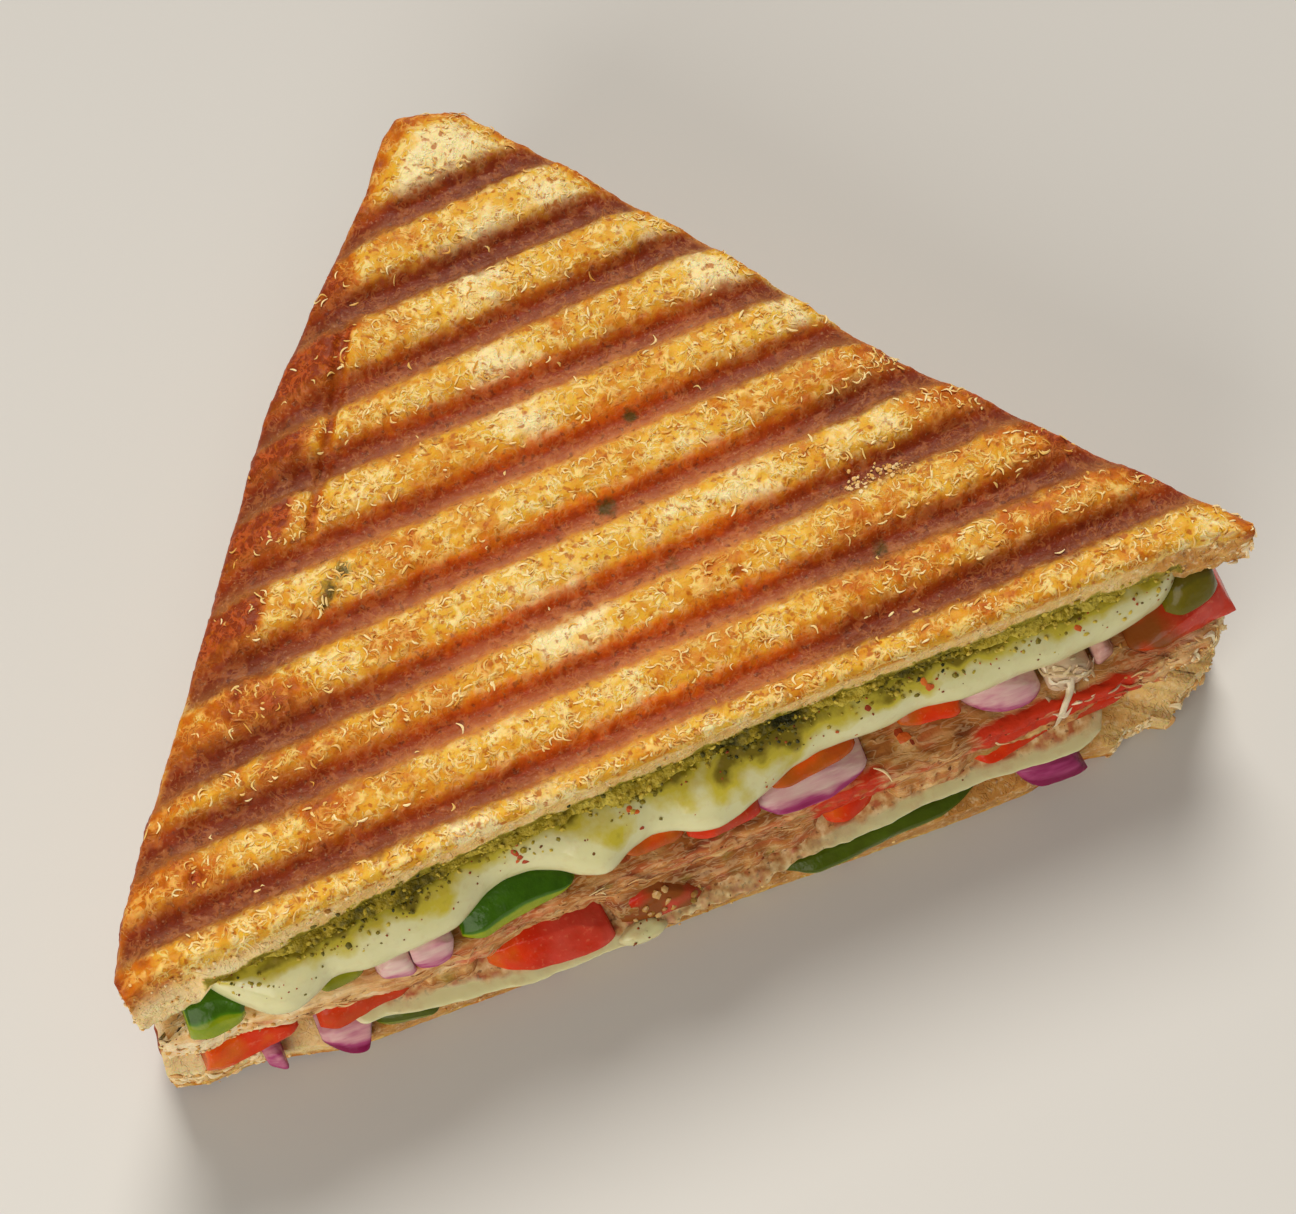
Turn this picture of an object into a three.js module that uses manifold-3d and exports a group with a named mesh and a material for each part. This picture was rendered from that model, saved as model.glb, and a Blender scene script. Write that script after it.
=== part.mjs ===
// Half of a grilled vegetable cheese sandwich, cut corner to corner.
// Millimetres. X runs along the cut, the cut face looks to -Y, the rounded
// corner of the slice points to +Y and Z is up from the plane it rests on.

import * as THREE from 'three';
import { mergeVertices } from 'three/addons/utils/BufferGeometryUtils.js';
import Module from 'manifold-3d';

const wasm = await Module();
wasm.setup();

// Driving dimensions

const TOP = 40.0;               // crowns of the toasted ridges
const TOP_UNDER = 34.5;         // underside of the upper slice
const CHUTNEY = [33.25, 34.2];  // bottom and top of each filling layer
const CHEESE_UPPER = [26.6, 32.95];
const MIDDLE = [15.4, 21.5];
const CHEESE_LOWER = [9.15, 10.95];
const BOTTOM = [0.0, 5.9];      // the lower slice
const GAP = 0.32;               // between pieces that lie against each other

const CRUST_BAND = 5.0;         // width of the pressed, thicker band at the crust
const TOP_EDGE = 30.0;          // underside of the upper slice there
const MIDDLE_EDGE = 26.0;       // top of the middle slice there
const BOTTOM_EDGE = 10.4;       // top of the lower slice there

const GROOVE_PITCH = 9.5;
const GROOVE_FIRST = 5.6;       // distance of the first groove from X, at x = 0
const GROOVE_COUNT = 9;
const GROOVE_SLOPE = 0.045;     // the grooves run almost along the cut
const GROOVE_DEPTH = 2.3;
const UNDER_GROOVE_DEPTH = 1.2;

const IN_CENTRE = [0, 37];      // the point equally far from all three sides
const IN_RADIUS = 37;

// Crust edge of the slice in plan, from the right corner over the blunt top
// corner to the left corner.
const CRUST_RIGHT = [
  [74.0, 1.2], [66.3, 10.3], [59.1, 18.2], [50.0, 29.7], [43.3, 37.0],
  [37.0, 46.4], [29.3, 59.0], [20.2, 71.0], [14.9, 78.5], [9.9, 84.7],
];
const CRUST_TOP = [
  [7.4, 88.0], [5.4, 90.7], [2.5, 92.1], [-0.4, 92.9], [-3.1, 93.4], [-5.4, 91.6], [-7.6, 88.9],
];
const CRUST_LEFT = [
  [-10.5, 84.6], [-21.8, 72.8], [-33.1, 60.2], [-43.8, 44.6], [-50.3, 35.0],
  [-59.0, 22.6], [-66.3, 12.6], [-70.8, 5.4], [-73.6, -0.4],
];

// Edges of the layers where the knife went through, as [x, y] points.
const RIM = [
  [-73.0, -3.6], [-69.0, -2.5], [-55.0, -2.3], [-46.0, -1.6], [-27.0, -0.5],
  [-8.0, 0.1], [9.0, 0.6], [33.0, 0.6], [66.0, 0.5], [74.0, -0.8],
];
const CRUMB_FOOT = [
  [-73.0, -5.4], [-67.0, -4.8], [-55.0, -3.6], [-50.0, -2.8], [-41.0, -1.9], [-22.0, -0.6],
  [0.0, 0.0], [10.0, 0.6], [29.0, 0.2], [52.0, -0.1], [65.0, -0.8], [74.0, -1.4],
];
const CHEESE_LIP = [
  [-64.5, -5.1], [-56.0, -4.7], [-50.0, -4.1], [-46.0, -3.5], [-38.0, -3.2], [-34.0, -2.1],
  [-27.0, -1.3], [-16.0, -1.4], [-9.0, -1.8], [2.0, -0.8], [12.0, -0.2], [27.0, -0.3],
  [32.0, 0.2], [37.0, -0.3], [42.0, -0.9], [54.0, -1.1], [65.5, -1.6],
];
const CHEESE_NOSE = [
  [-64.5, -5.4], [-62.0, -6.3], [-60.0, -7.5], [-58.5, -8.9], [-56.0, -9.6], [-54.0, -9.4],
  [-52.0, -8.6], [-50.0, -7.2], [-48.0, -7.5], [-45.5, -8.1], [-40.0, -7.8], [-34.0, -7.3],
  [-31.5, -6.0], [-29.0, -4.5], [-26.0, -3.9], [-23.5, -4.0], [-20.0, -5.2], [-18.0, -6.7],
  [-16.0, -7.6], [-14.0, -7.8], [-12.0, -6.8], [-8.0, -5.6], [-5.0, -6.0], [-2.5, -7.2],
  [0.0, -7.7], [3.0, -7.3], [6.0, -6.2], [8.5, -5.2], [11.0, -4.3], [15.0, -3.6],
  [22.0, -3.9], [28.0, -3.3], [34.0, -4.0], [47.0, -4.2], [52.0, -3.8], [58.0, -3.4],
  [62.0, -2.9], [65.5, -2.2],
];
const MIDDLE_FRONT = [
  [-72.0, -6.4], [-67.4, -7.2], [-62.6, -6.8], [-57.7, -7.8], [-52.9, -7.8], [-45.5, -8.8],
  [-40.6, -9.1], [-33.3, -9.1], [-25.8, -7.8], [-13.4, -8.0], [11.8, -8.4], [32.3, -8.3],
  [60.9, -8.2], [67.6, -7.6], [71.5, -4.4],
];
const CHEESE_LOWER_NOSE = [
  [-67.0, -3.6], [-51.0, -5.0], [-49.0, -10.0], [-45.5, -10.0], [-40.6, -11.0], [-35.6, -11.8], [-30.6, -12.4], [-26.9, -13.0],
  [-14.3, -13.1], [-9.2, -12.5], [4.8, -12.3], [10.0, -11.2], [23.0, -11.2], [28.2, -10.5],
  [36.1, -10.6], [46.5, -11.5], [49.1, -11.6], [53.0, -10.4],
  [55.0, -6.0], [67.0, -3.6],
];
const BOTTOM_FRONT = [
  [-73.4, -6.6], [-69.4, -7.8], [-63.1, -7.5], [-58.1, -8.4], [-53.1, -9.7], [-48.7, -10.3],
  [-31.6, -10.8], [0.6, -10.9], [13.6, -11.6], [33.4, -12.3], [42.7, -12.2], [50.9, -10.6],
  [55.1, -11.6], [57.0, -10.2], [61.5, -10.0], [63.0, -11.2], [65.7, -8.8], [69.9, -7.2], [73.6, -3.0],
];

// Small tools

const mix = (a, b, t) => a + (b - a) * t;
const clamp = (v, lo, hi) => Math.min(hi, Math.max(lo, v));
const ease = (a, b, v) => {
  const t = clamp((v - a) / (b - a), 0, 1);
  return t * t * (3 - 2 * t);
};

// Value at x on a line through [x, value] points.
function along(points, x) {
  if (x <= points[0][0]) return points[0][1];
  for (let i = 1; i < points.length; i++) {
    const [x0, v0] = points[i - 1];
    const [x1, v1] = points[i];
    if (x <= x1) return mix(v0, v1, (x - x0) / (x1 - x0));
  }
  return points[points.length - 1][1];
}

// A gentle unevenness between about -1 and 1.
function wobble(a, b, seed) {
  const slow = Math.sin(0.61 * a + 1.7 * seed) * Math.cos(0.47 * b - 0.9 * seed);
  const quick = Math.sin(1.93 * a - 1.37 * b + 2.3 * seed);
  return 0.6 * slow + 0.4 * quick;
}

function moved(points, inset) {
  const k = 1 - inset / IN_RADIUS;
  return points.map(([x, y]) => [
    IN_CENTRE[0] + (x - IN_CENTRE[0]) * k,
    IN_CENTRE[1] + (y - IN_CENTRE[1]) * k,
  ]);
}

const CRUST = [...CRUST_RIGHT, ...CRUST_TOP, ...CRUST_LEFT];

// Crust edge as y over x, for layers that are laid out from the cut inwards.
function crustAt(x, inset) {
  const points = moved(CRUST, inset).reverse();
  return along(points, x);
}

// Distance from a point to the nearest crust edge.
function crustDistance(x, y) {
  let best = Infinity;
  for (let i = 1; i < CRUST.length; i++) {
    const [ax, ay] = CRUST[i - 1];
    const [bx, by] = CRUST[i];
    const dx = bx - ax;
    const dy = by - ay;
    const t = clamp(((x - ax) * dx + (y - ay) * dy) / (dx * dx + dy * dy), 0, 1);
    best = Math.min(best, Math.hypot(x - ax - t * dx, y - ay - t * dy));
  }
  return best;
}

function weld(geometry) {
  geometry.deleteAttribute('normal');
  geometry.deleteAttribute('uv');
  return mergeVertices(geometry, 1e-4);
}

function reshape(geometry, place) {
  const welded = weld(geometry);
  const position = welded.attributes.position;
  for (let i = 0; i < position.count; i++) {
    position.setXYZ(i, ...place(position.getX(i), position.getY(i), position.getZ(i)));
  }
  return welded;
}

// A box divided into a grid, with place() given 0..1 along, inwards and up.
function block(nx, ny, nz, place) {
  const box = new THREE.BoxGeometry(1, 1, 1, nx, ny, nz);
  return reshape(box, (x, y, z) => place(x + 0.5, y + 0.5, z + 0.5));
}

function solidOf(geometry) {
  const welded = weld(geometry);
  return new wasm.Manifold(new wasm.Mesh({
    numProp: 3,
    vertProperties: new Float32Array(welded.attributes.position.array),
    triVerts: new Uint32Array(welded.index.array),
  }));
}

function geometryOf(solid) {
  const mesh = solid.getMesh();
  const geometry = new THREE.BufferGeometry();
  geometry.setAttribute('position', new THREE.BufferAttribute(mesh.vertProperties, 3));
  geometry.setIndex(new THREE.BufferAttribute(mesh.triVerts, 1));
  return geometry;
}

// Bread

// Plan of a slice: the cut from left to right, then round the crust.
function slicePlan(front, cutSteps, inset, ragged, seed) {
  const x0 = front[0][0];
  const x1 = front[front.length - 1][0];
  const points = [];
  for (let i = 0; i <= cutSteps; i++) {
    const x = mix(x0, x1, i / cutSteps);
    points.push(new THREE.Vector2(x, along(front, x)));
  }
  for (const part of [CRUST_RIGHT, CRUST_TOP, CRUST_LEFT]) {
    const curve = new THREE.SplineCurve(moved(part, inset).map(([x, y]) => new THREE.Vector2(x, y)));
    const steps = part === CRUST_TOP ? 6 : 18;
    curve.getSpacedPoints(steps).forEach((p, i) => {
      const out = ragged * wobble(5 * i, p.y, seed);
      const away = Math.sign(p.x) || 1;
      points.push(new THREE.Vector2(p.x + away * out, p.y + 0.5 * out));
    });
  }
  return new THREE.Shape(points);
}

// Upright body over the filled middle of the sandwich, open towards the cut.
// Outside it the slices are thick and pressed together along the crust.
function middlePlug(inset, low, high) {
  const ring = moved([CRUST_RIGHT[0], CRUST_RIGHT[4], CRUST_RIGHT[9], ...CRUST_TOP, CRUST_LEFT[0],
    CRUST_LEFT[4], CRUST_LEFT[8]], inset);
  const right = ring[0][0] + 4;
  const left = ring[ring.length - 1][0] - 4;
  const points = [[left, -30], [right, -30], ...ring.slice(1, -1)];
  points.push(ring[ring.length - 1]);
  points.splice(2, 0, ring[0]);
  const plan = new THREE.Shape(points.map(([x, y]) => new THREE.Vector2(x, y)));
  const plug = new THREE.ExtrudeGeometry(plan, { depth: high - low, steps: 1, bevelEnabled: false });
  plug.translate(0, 0, low);
  return solidOf(plug);
}

// Profile across the grooves, as [distance from the groove, depth].
const TOP_PROFILE = [[-1.3, 1], [1.3, 1], [2.4, 0.34], [3.5, 0.08], [6.0, 0.08], [7.1, 0.34]];

function ridgedSlab() {
  const points = [];
  for (let g = 0; g < GROOVE_COUNT; g++) {
    for (const [away, depth] of TOP_PROFILE) {
      points.push(new THREE.Vector2(GROOVE_FIRST + g * GROOVE_PITCH + away, TOP - depth * GROOVE_DEPTH));
    }
  }
  const last = GROOVE_FIRST + GROOVE_COUNT * GROOVE_PITCH;
  points.push(new THREE.Vector2(last + 9, TOP - 1), new THREE.Vector2(last + 9, TOP_EDGE));
  points.push(new THREE.Vector2(-14, TOP_EDGE), new THREE.Vector2(-14, TOP - 1.2));
  points.push(new THREE.Vector2(-3, TOP - 0.7), new THREE.Vector2(0.6, TOP - 0.1), new THREE.Vector2(2.6, TOP - 0.3));
  const shape = new THREE.Shape(points);
  return new THREE.ExtrudeGeometry(shape, { depth: 156, steps: 34, bevelEnabled: false });
}

function breadTop() {
  const slab = reshape(ridgedSlab(), (y, z, station) => {
    const x = station - 78;
    const yy = y + GROOVE_SLOPE * x;
    if (z < TOP_EDGE + 0.1) return [x, yy, TOP_EDGE];
    const drop = 2.1 * (1 - ease(0, 5, crustDistance(x, yy)));
    return [x, yy, z - drop - 0.25 + 0.25 * wobble(0.22 * x, 0.5 * yy, 1)];
  });
  const plan = slicePlan(RIM, 40, 0, 0.35, 2);
  const wall = new THREE.ExtrudeGeometry(plan, { depth: 1, steps: 4, bevelEnabled: false });
  const shell = reshape(wall, (x, y, t) => {
    const z = mix(TOP_EDGE - 0.5, TOP + 0.5, t);
    const nearCut = 1 - ease(0, 12, y - along(RIM, x));
    const lean = (along(CRUMB_FOOT, x) - along(RIM, x)) * clamp((TOP - 1 - z) / 4.5, 0, 1);
    const rough = nearCut * 0.25 * wobble(2.1 * x, 3 * z, 5);
    const tuck = crustDistance(x, y) < 1 ? 1 - 0.016 * (2 * t - 1) ** 2 : 1;
    return [x * tuck, mix(37, y, tuck) + nearCut * lean + rough, z];
  });
  const slice = solidOf(slab).intersect(solidOf(shell));
  return slice.subtract(middlePlug(CRUST_BAND, TOP_EDGE - 3, TOP_UNDER));
}

function breadMiddle() {
  const plan = slicePlan(MIDDLE_FRONT, 44, 0.9, 0.3, 4);
  const whole = new THREE.ExtrudeGeometry(plan, { depth: 1, steps: 3, bevelEnabled: false });
  const slice = reshape(whole, (x, y, t) => {
    const nearCut = 1 - ease(0, 6, y - along(MIDDLE_FRONT, x));
    const bulge = nearCut * (1.2 * (2 * t - 0.6) ** 2 + 0.25 * wobble(1.7 * x, 6 * t, 3));
    return [x, y + bulge, mix(MIDDLE[0], MIDDLE_EDGE, t)];
  });
  return solidOf(slice).subtract(middlePlug(CRUST_BAND, MIDDLE[1], MIDDLE_EDGE + 3));
}

function breadBottom() {
  const points = [new THREE.Vector2(-16, BOTTOM_EDGE), new THREE.Vector2(-16, 0)];
  for (let g = -1; g <= GROOVE_COUNT; g++) {
    const y = GROOVE_FIRST + g * GROOVE_PITCH;
    points.push(new THREE.Vector2(y - 1.8, 0), new THREE.Vector2(y - 0.9, UNDER_GROOVE_DEPTH));
    points.push(new THREE.Vector2(y + 0.9, UNDER_GROOVE_DEPTH), new THREE.Vector2(y + 1.8, 0));
  }
  points.push(new THREE.Vector2(112, 0), new THREE.Vector2(112, BOTTOM_EDGE));
  const across = new THREE.Shape(points.reverse());
  const ridged = new THREE.ExtrudeGeometry(across, { depth: 156, steps: 1, bevelEnabled: false });
  const slab = reshape(ridged, (y, z, x) => [x - 78, y + GROOVE_SLOPE * (x - 78), z]);
  const plan = slicePlan(BOTTOM_FRONT, 44, 0.4, 0.3, 6);
  const wall = new THREE.ExtrudeGeometry(plan, { depth: 1, steps: 3, bevelEnabled: false });
  const shell = reshape(wall, (x, y, t) => {
    const nearCut = 1 - ease(0, 12, y - along(BOTTOM_FRONT, x));
    const rough = nearCut * 0.25 * wobble(1.9 * x, 7 * t, 8);
    const k = t < 0.1 ? 0.975 : 1 - 0.01 * (2 * t - 1) ** 2;
    return [x * k, mix(37, y, k) + nearCut * 0.5 * (1 - t) + rough, mix(-0.4, BOTTOM_EDGE + 0.4, t)];
  });
  const slice = solidOf(slab).intersect(solidOf(shell));
  return slice.subtract(middlePlug(CRUST_BAND, BOTTOM[1], BOTTOM_EDGE + 3));
}

// Spread and cheese

// Depth rows of a filling layer: at the cut, just behind it, further in.
const ROWS = [0, 3, 12];

function inward(v, count, front, back) {
  const row = Math.round(v * count);
  if (row === count) return back;
  return front + Math.min(ROWS[row], ((back - front) * row) / count);
}

function chutney() {
  const layer = block(44, 2, 1, (u, v, w) => {
    const x = mix(-66.5, 66.0, u);
    const front = mix(along(CHEESE_LIP, x), along(CRUMB_FOOT, x), w) + 0.12 * wobble(2 * x, w, 7);
    const back = Math.max(crustAt(x, CRUST_BAND + 0.5), front + 1.0);
    return [x, inward(v, 2, front, back), mix(CHUTNEY[0], CHUTNEY[1], w)];
  });
  const room = middlePlug(CRUST_BAND + GAP, CHUTNEY[0] - 1, CHUTNEY[1] + 1);
  return geometryOf(solidOf(layer).intersect(room));
}

// Cheese fills the sandwich between the vegetables and shows as a thin line
// between the slices along the crust.
function betweenSlices(layer, low, high, edgeLow, edgeHigh) {
  const edge = new THREE.BoxGeometry(200, 200, edgeHigh - edgeLow);
  edge.translate(0, 40, (edgeLow + edgeHigh) / 2);
  const room = middlePlug(CRUST_BAND + GAP, low - 1, high + 1).add(solidOf(edge));
  return solidOf(layer).intersect(room);
}

// Where cheese has run out past the crust a little, as [x, distance].
const CHEESE_OUT = [[38, -1.2], [41, 0.9], [46, 1.0], [48, -1.2], [51, 0.9], [60, 1.3], [63, -1.2], [70, -1.4]];

function cheeseUpper() {
  const [low, high] = CHEESE_UPPER;
  const layer = block(54, 3, 3, (u, v, w) => {
    const x = mix(-64.5, 65.5, u);
    const lip = along(CHEESE_LIP, x);
    const nose = along(CHEESE_NOSE, x);
    const level = Math.round(w * 3);
    const front = [nose + 1.3, nose, mix(nose, lip, 0.36), lip][level];
    const atCut = [low, low + 1.5, low + 4.2, high][level];
    const height = v > 0.01 ? mix(MIDDLE[1] + GAP, high, w) : atCut;
    const back = Math.max(crustAt(x, 0) + along(CHEESE_OUT, x), lip + 2.4);
    return [x, inward(v, 3, front, back), height];
  });
  return betweenSlices(layer, MIDDLE[1], high, MIDDLE_EDGE + GAP, TOP_EDGE - GAP);
}

function cheeseLower() {
  const [low, high] = CHEESE_LOWER;
  const layer = block(46, 3, 2, (u, v, w) => {
    const x = mix(-67.0, 67.0, u);
    const nose = along(CHEESE_LOWER_NOSE, x);
    const front = [nose + 0.5, nose, nose + 1.1][Math.round(w * 2)];
    const back = Math.max(crustAt(x, 1.6), nose + 2.4);
    const height = v > 0.01 ? mix(BOTTOM[1] + GAP, MIDDLE[0] - GAP, w) : mix(low, high, w);
    return [x, inward(v, 3, front, back), height];
  });
  return betweenSlices(layer, BOTTOM[1], MIDDLE[0], BOTTOM_EDGE + GAP, MIDDLE[0] - GAP);
}

// Slices and strips of vegetable

const last = (points) => points[points.length - 1];

// A flat piece whose leaning front shows at the cut. top and foot are the upper and
// lower edges of that front, left to right, z its [foot, top] heights, depth how far
// it runs into the food, and ends how far it thins at its left and right end.
function sliver({ top, foot, z, depth, ends = [0.3, 0.3], steps = 6 }) {
  const back = Math.min(...foot.map(([, y]) => y)) + depth;
  return block(steps, 3, 2, (u, v, w) => {
    const side = 2 * u - 1;
    const thin = 1 - ends[side < 0 ? 0 : 1] * Math.abs(side) ** 3;
    const x = mix(mix(foot[0][0], top[0][0], w), mix(last(foot)[0], last(top)[0], w), u);
    const face = mix(along(foot, x), along(top, x), w) - 0.3 * (1 - (2 * w - 1) ** 2);
    const row = Math.round(v * 3);
    const y = [face, face + 1.0, mix(face, back, 0.5), back][row];
    const flat = [0.84, 1, 1, 0.7][row];
    return [x, y, z[0] + (z[1] - z[0]) * thin * (0.5 + (w - 0.5) * flat)];
  });
}

const LOWER = [11.3, 15.1];
const BASE = [6.2, 8.85];

const SLIVERS = {
  pepper_upper_1: {
    kind: 'pepper', z: [24.0, 28.2], depth: 16, ends: [0.1, 0.3],
    top: [[-67.4, -4.7], [-65.0, -4.3], [-62.9, -4.6], [-60.7, -6.9]],
    foot: [[-68.3, -7.3], [-65.6, -8.0], [-61.1, -7.2]],
  },
  pepper_upper_2: {
    kind: 'pepper', z: [23.9, 25.9], depth: 20,
    top: [[-51.9, -7.7], [-49.5, -6.5], [-47.5, -6.8], [-46.2, -7.4]],
    foot: [[-51.8, -7.8], [-49.5, -7.8], [-46.4, -7.6]],
  },
  pepper_upper_3: {
    kind: 'pepper', z: [22.0, 26.2], depth: 22, ends: [0.5, 0.8], steps: 9,
    top: [[-33.2, -6.8], [-30.9, -5.1], [-28.6, -4.0], [-25.1, -3.5], [-21.4, -4.0], [-18.4, -6.4]],
    foot: [[-33.5, -8.0], [-31.0, -8.5], [-28.3, -7.7], [-22.0, -6.9], [-18.0, -6.6]],
  },
  pepper_upper_4: {
    kind: 'pepper', z: [27.0, 30.6], depth: 8,
    top: [[64.0, -1.7], [66.2, -1.1], [68.4, -0.9], [69.7, -1.2]],
    foot: [[62.6, -3.6], [64.5, -4.5], [67.6, -3.9], [70.2, -2.8]],
  },
  onion_upper_1: {
    kind: 'onion', z: [21.85, 25.2], depth: 20, ends: [0.6, 0.2],
    top: [[-44.8, -8.0], [-42.9, -7.5], [-40.6, -7.9]],
    foot: [[-44.9, -8.1], [-43.1, -8.8], [-40.3, -9.4]],
  },
  onion_upper_2: {
    kind: 'onion', z: [21.85, 25.4], depth: 22, ends: [0.1, 0.4],
    top: [[-40.2, -7.7], [-37.9, -7.2], [-35.7, -7.6], [-34.9, -8.4]],
    foot: [[-39.9, -8.9], [-37.7, -9.5], [-35.2, -9.0]],
  },
  onion_upper_3: {
    kind: 'onion', z: [21.85, 24.0], depth: 24, ends: [0.4, 0.8], steps: 8,
    top: [[6.7, -5.6], [8.7, -4.9], [12.2, -4.6], [16.8, -5.0], [21.2, -6.3]],
    foot: [[6.6, -6.5], [8.2, -8.0], [14.9, -8.1], [21.4, -6.4]],
  },
  onion_upper_4: {
    kind: 'onion', z: [22.0, 25.6], depth: 22, ends: [0.6, 0.6],
    top: [[34.7, -3.4], [37.7, -3.4], [40.9, -3.9], [45.1, -5.1]],
    foot: [[35.3, -3.6], [37.3, -5.1], [39.7, -6.1], [42.9, -6.5], [45.4, -5.4]],
  },
  onion_upper_5: {
    kind: 'onion', z: [22.0, 25.4], depth: 18, ends: [0.3, 0.6],
    top: [[52.7, -4.6], [53.6, -4.0], [55.3, -3.8]],
    foot: [[52.8, -5.2], [54.2, -4.7], [56.0, -4.1]],
  },
  onion_upper_6: {
    kind: 'onion', z: [22.0, 25.4], depth: 18, ends: [0.2, 0.3],
    top: [[45.8, -4.2], [48.3, -4.2], [51.5, -4.8], [52.0, -5.2]],
    foot: [[46.0, -6.2], [47.1, -6.4], [49.3, -6.1], [52.3, -5.2]],
  },
  tomato_upper_1: {
    kind: 'tomato', z: [24.0, 26.0], depth: 22, ends: [0.5, 0.3],
    top: [[-11.7, -6.4], [-9.3, -5.1], [-6.6, -4.8], [-4.1, -5.8]],
    foot: [[-11.2, -6.6], [-8.5, -6.3], [-4.0, -6.4]],
  },
  tomato_upper_2: {
    kind: 'tomato', z: [23.6, 25.6], depth: 22,
    top: [[-3.3, -6.0], [0.5, -6.8], [3.9, -6.6], [6.2, -5.7]],
    foot: [[-3.5, -7.0], [-0.5, -7.7], [3.1, -7.3], [6.1, -7.5]],
  },
  tomato_upper_3: {
    kind: 'tomato', z: [24.2, 26.1], depth: 24, ends: [0.5, 0.2],
    top: [[26.4, -2.6], [29.9, -2.4], [33.9, -3.2]],
    foot: [[26.2, -3.8], [30.0, -4.3], [34.1, -5.1]],
  },
  tomato_upper_4: {
    kind: 'tomato', z: [21.9, 25.9], depth: 10, ends: [0.6, 0.1], steps: 8,
    top: [[57.8, -5.9], [60.8, -5.4], [64.6, -4.7], [68.8, -3.3], [70.8, -2.4]],
    foot: [[58.8, -6.0], [62.1, -5.9], [65.8, -5.5], [69.2, -5.0], [72.4, -5.4]],
  },
  tomato_upper_5: {
    kind: 'tomato', z: [24.35, 26.2], depth: 22, ends: [0.4, 0.6],
    top: [[8.8, -4.8], [12.6, -3.6], [15.3, -3.4], [20.2, -3.4]],
    foot: [[8.6, -5.5], [11.9, -5.3], [14.7, -5.1], [20.4, -4.2]],
  },
  tomato_lower_1: {
    kind: 'tomato', z: [11.4, 15.1], depth: 12, ends: [0.0, 0.7], steps: 8,
    top: [[-67.5, -7.8], [-64.9, -7.1], [-62.5, -6.5], [-60.3, -6.6], [-56.3, -8.0]],
    foot: [[-68.5, -8.5], [-66.9, -9.0], [-63.8, -8.8], [-58.9, -8.2], [-56.0, -8.2]],
  },
  tomato_lower_2: {
    kind: 'tomato', z: LOWER, depth: 26, ends: [0.3, 0.7], steps: 8,
    top: [[-52.9, -8.0], [-49.4, -6.7], [-45.3, -5.3], [-41.3, -8.4]],
    foot: [[-53.7, -9.1], [-51.6, -9.7], [-46.1, -8.7], [-41.1, -8.6]],
  },
  tomato_lower_3: {
    kind: 'tomato', z: LOWER, depth: 28, ends: [0.3, 0.1], steps: 9,
    top: [[-31.3, -8.7], [-27.6, -8.6], [-23.8, -9.1], [-19.7, -9.1], [-15.8, -11.2]],
    foot: [[-31.4, -9.2], [-30.5, -10.4], [-25.8, -12.1], [-20.6, -12.6], [-15.2, -12.5]],
  },
  tomato_lower_4: {
    kind: 'tomato', z: LOWER, depth: 28, ends: [0.3, 0.7], steps: 8,
    top: [[-13.6, -9.4], [-10.2, -8.8], [-6.0, -10.0], [-3.4, -11.0]],
    foot: [[-13.9, -10.9], [-10.5, -11.2], [-3.4, -11.8]],
  },
  tomato_lower_5: {
    kind: 'tomato', z: LOWER, depth: 26, ends: [0.5, 0.5],
    top: [[14.6, -6.0], [17.9, -5.2], [22.2, -5.8]],
    foot: [[14.5, -7.9], [16.1, -9.0], [18.1, -9.1], [22.6, -7.3]],
  },
  tomato_lower_6: {
    kind: 'tomato', z: LOWER, depth: 20, ends: [0.5, 0.8], steps: 10,
    top: [[34.1, -5.7], [38.2, -5.0], [41.9, -4.6], [46.0, -4.8], [53.8, -6.3], [58.2, -7.4]],
    foot: [[34.6, -6.8], [37.3, -9.5], [42.7, -8.5], [46.6, -7.9], [58.6, -7.9]],
  },
  pepper_base_1: {
    kind: 'pepper', z: BASE, depth: 18, ends: [0.5, 0.7],
    top: [[-47.0, -9.5], [-45.7, -9.2], [-42.7, -10.2], [-38.4, -11.3]],
    foot: [[-46.9, -10.0], [-44.3, -10.6], [-39.1, -11.4]],
  },
  pepper_base_2: {
    kind: 'pepper', z: BASE, depth: 20, ends: [0.6, 0.8], steps: 10,
    top: [[7.9, -11.6], [10.2, -11.1], [21.2, -11.2], [24.4, -10.6], [34.8, -10.4]],
    foot: [[8.7, -11.7], [11.6, -12.9], [15.2, -12.8], [21.9, -12.1], [30.4, -11.9], [36.0, -10.5]],
  },
  onion_base_1: {
    kind: 'onion', z: BASE, depth: 12,
    top: [[-61.7, -8.7], [-60.3, -8.5], [-59.1, -9.6]],
    foot: [[-61.6, -9.0], [-60.8, -10.0], [-59.0, -11.0]],
  },
  onion_base_2: {
    kind: 'onion', z: BASE, depth: 18, ends: [0.3, 0.1],
    top: [[-54.1, -9.0], [-49.7, -9.1], [-47.6, -9.9]],
    foot: [[-54.2, -9.2], [-53.0, -10.7], [-51.4, -12.0], [-49.0, -12.6]],
  },
  onion_base_3: {
    kind: 'onion', z: BASE, depth: 18, ends: [0.3, 0.1],
    top: [[40.9, -10.9], [43.8, -11.4], [48.5, -12.0]],
    foot: [[42.0, -12.2], [43.6, -13.4], [50.2, -13.5]],
  },
};

// Room for a vegetable piece in the bread or cheese around it.
function pocket({ top, foot, z, depth }) {
  const xs = [...top, ...foot].map(([x]) => x);
  const ys = foot.map(([, y]) => y);
  const outside = 12;
  const width = Math.max(...xs) - Math.min(...xs) + 2 * GAP;
  const inner = Math.min(...ys) + depth + 1.2;
  const outer = Math.min(...ys) - outside;
  const box = new THREE.BoxGeometry(width, inner - outer, z[1] - z[0] + 2 * GAP);
  box.translate((Math.max(...xs) + Math.min(...xs)) / 2, (inner + outer) / 2, (z[0] + z[1]) / 2);
  return solidOf(box);
}

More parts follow.
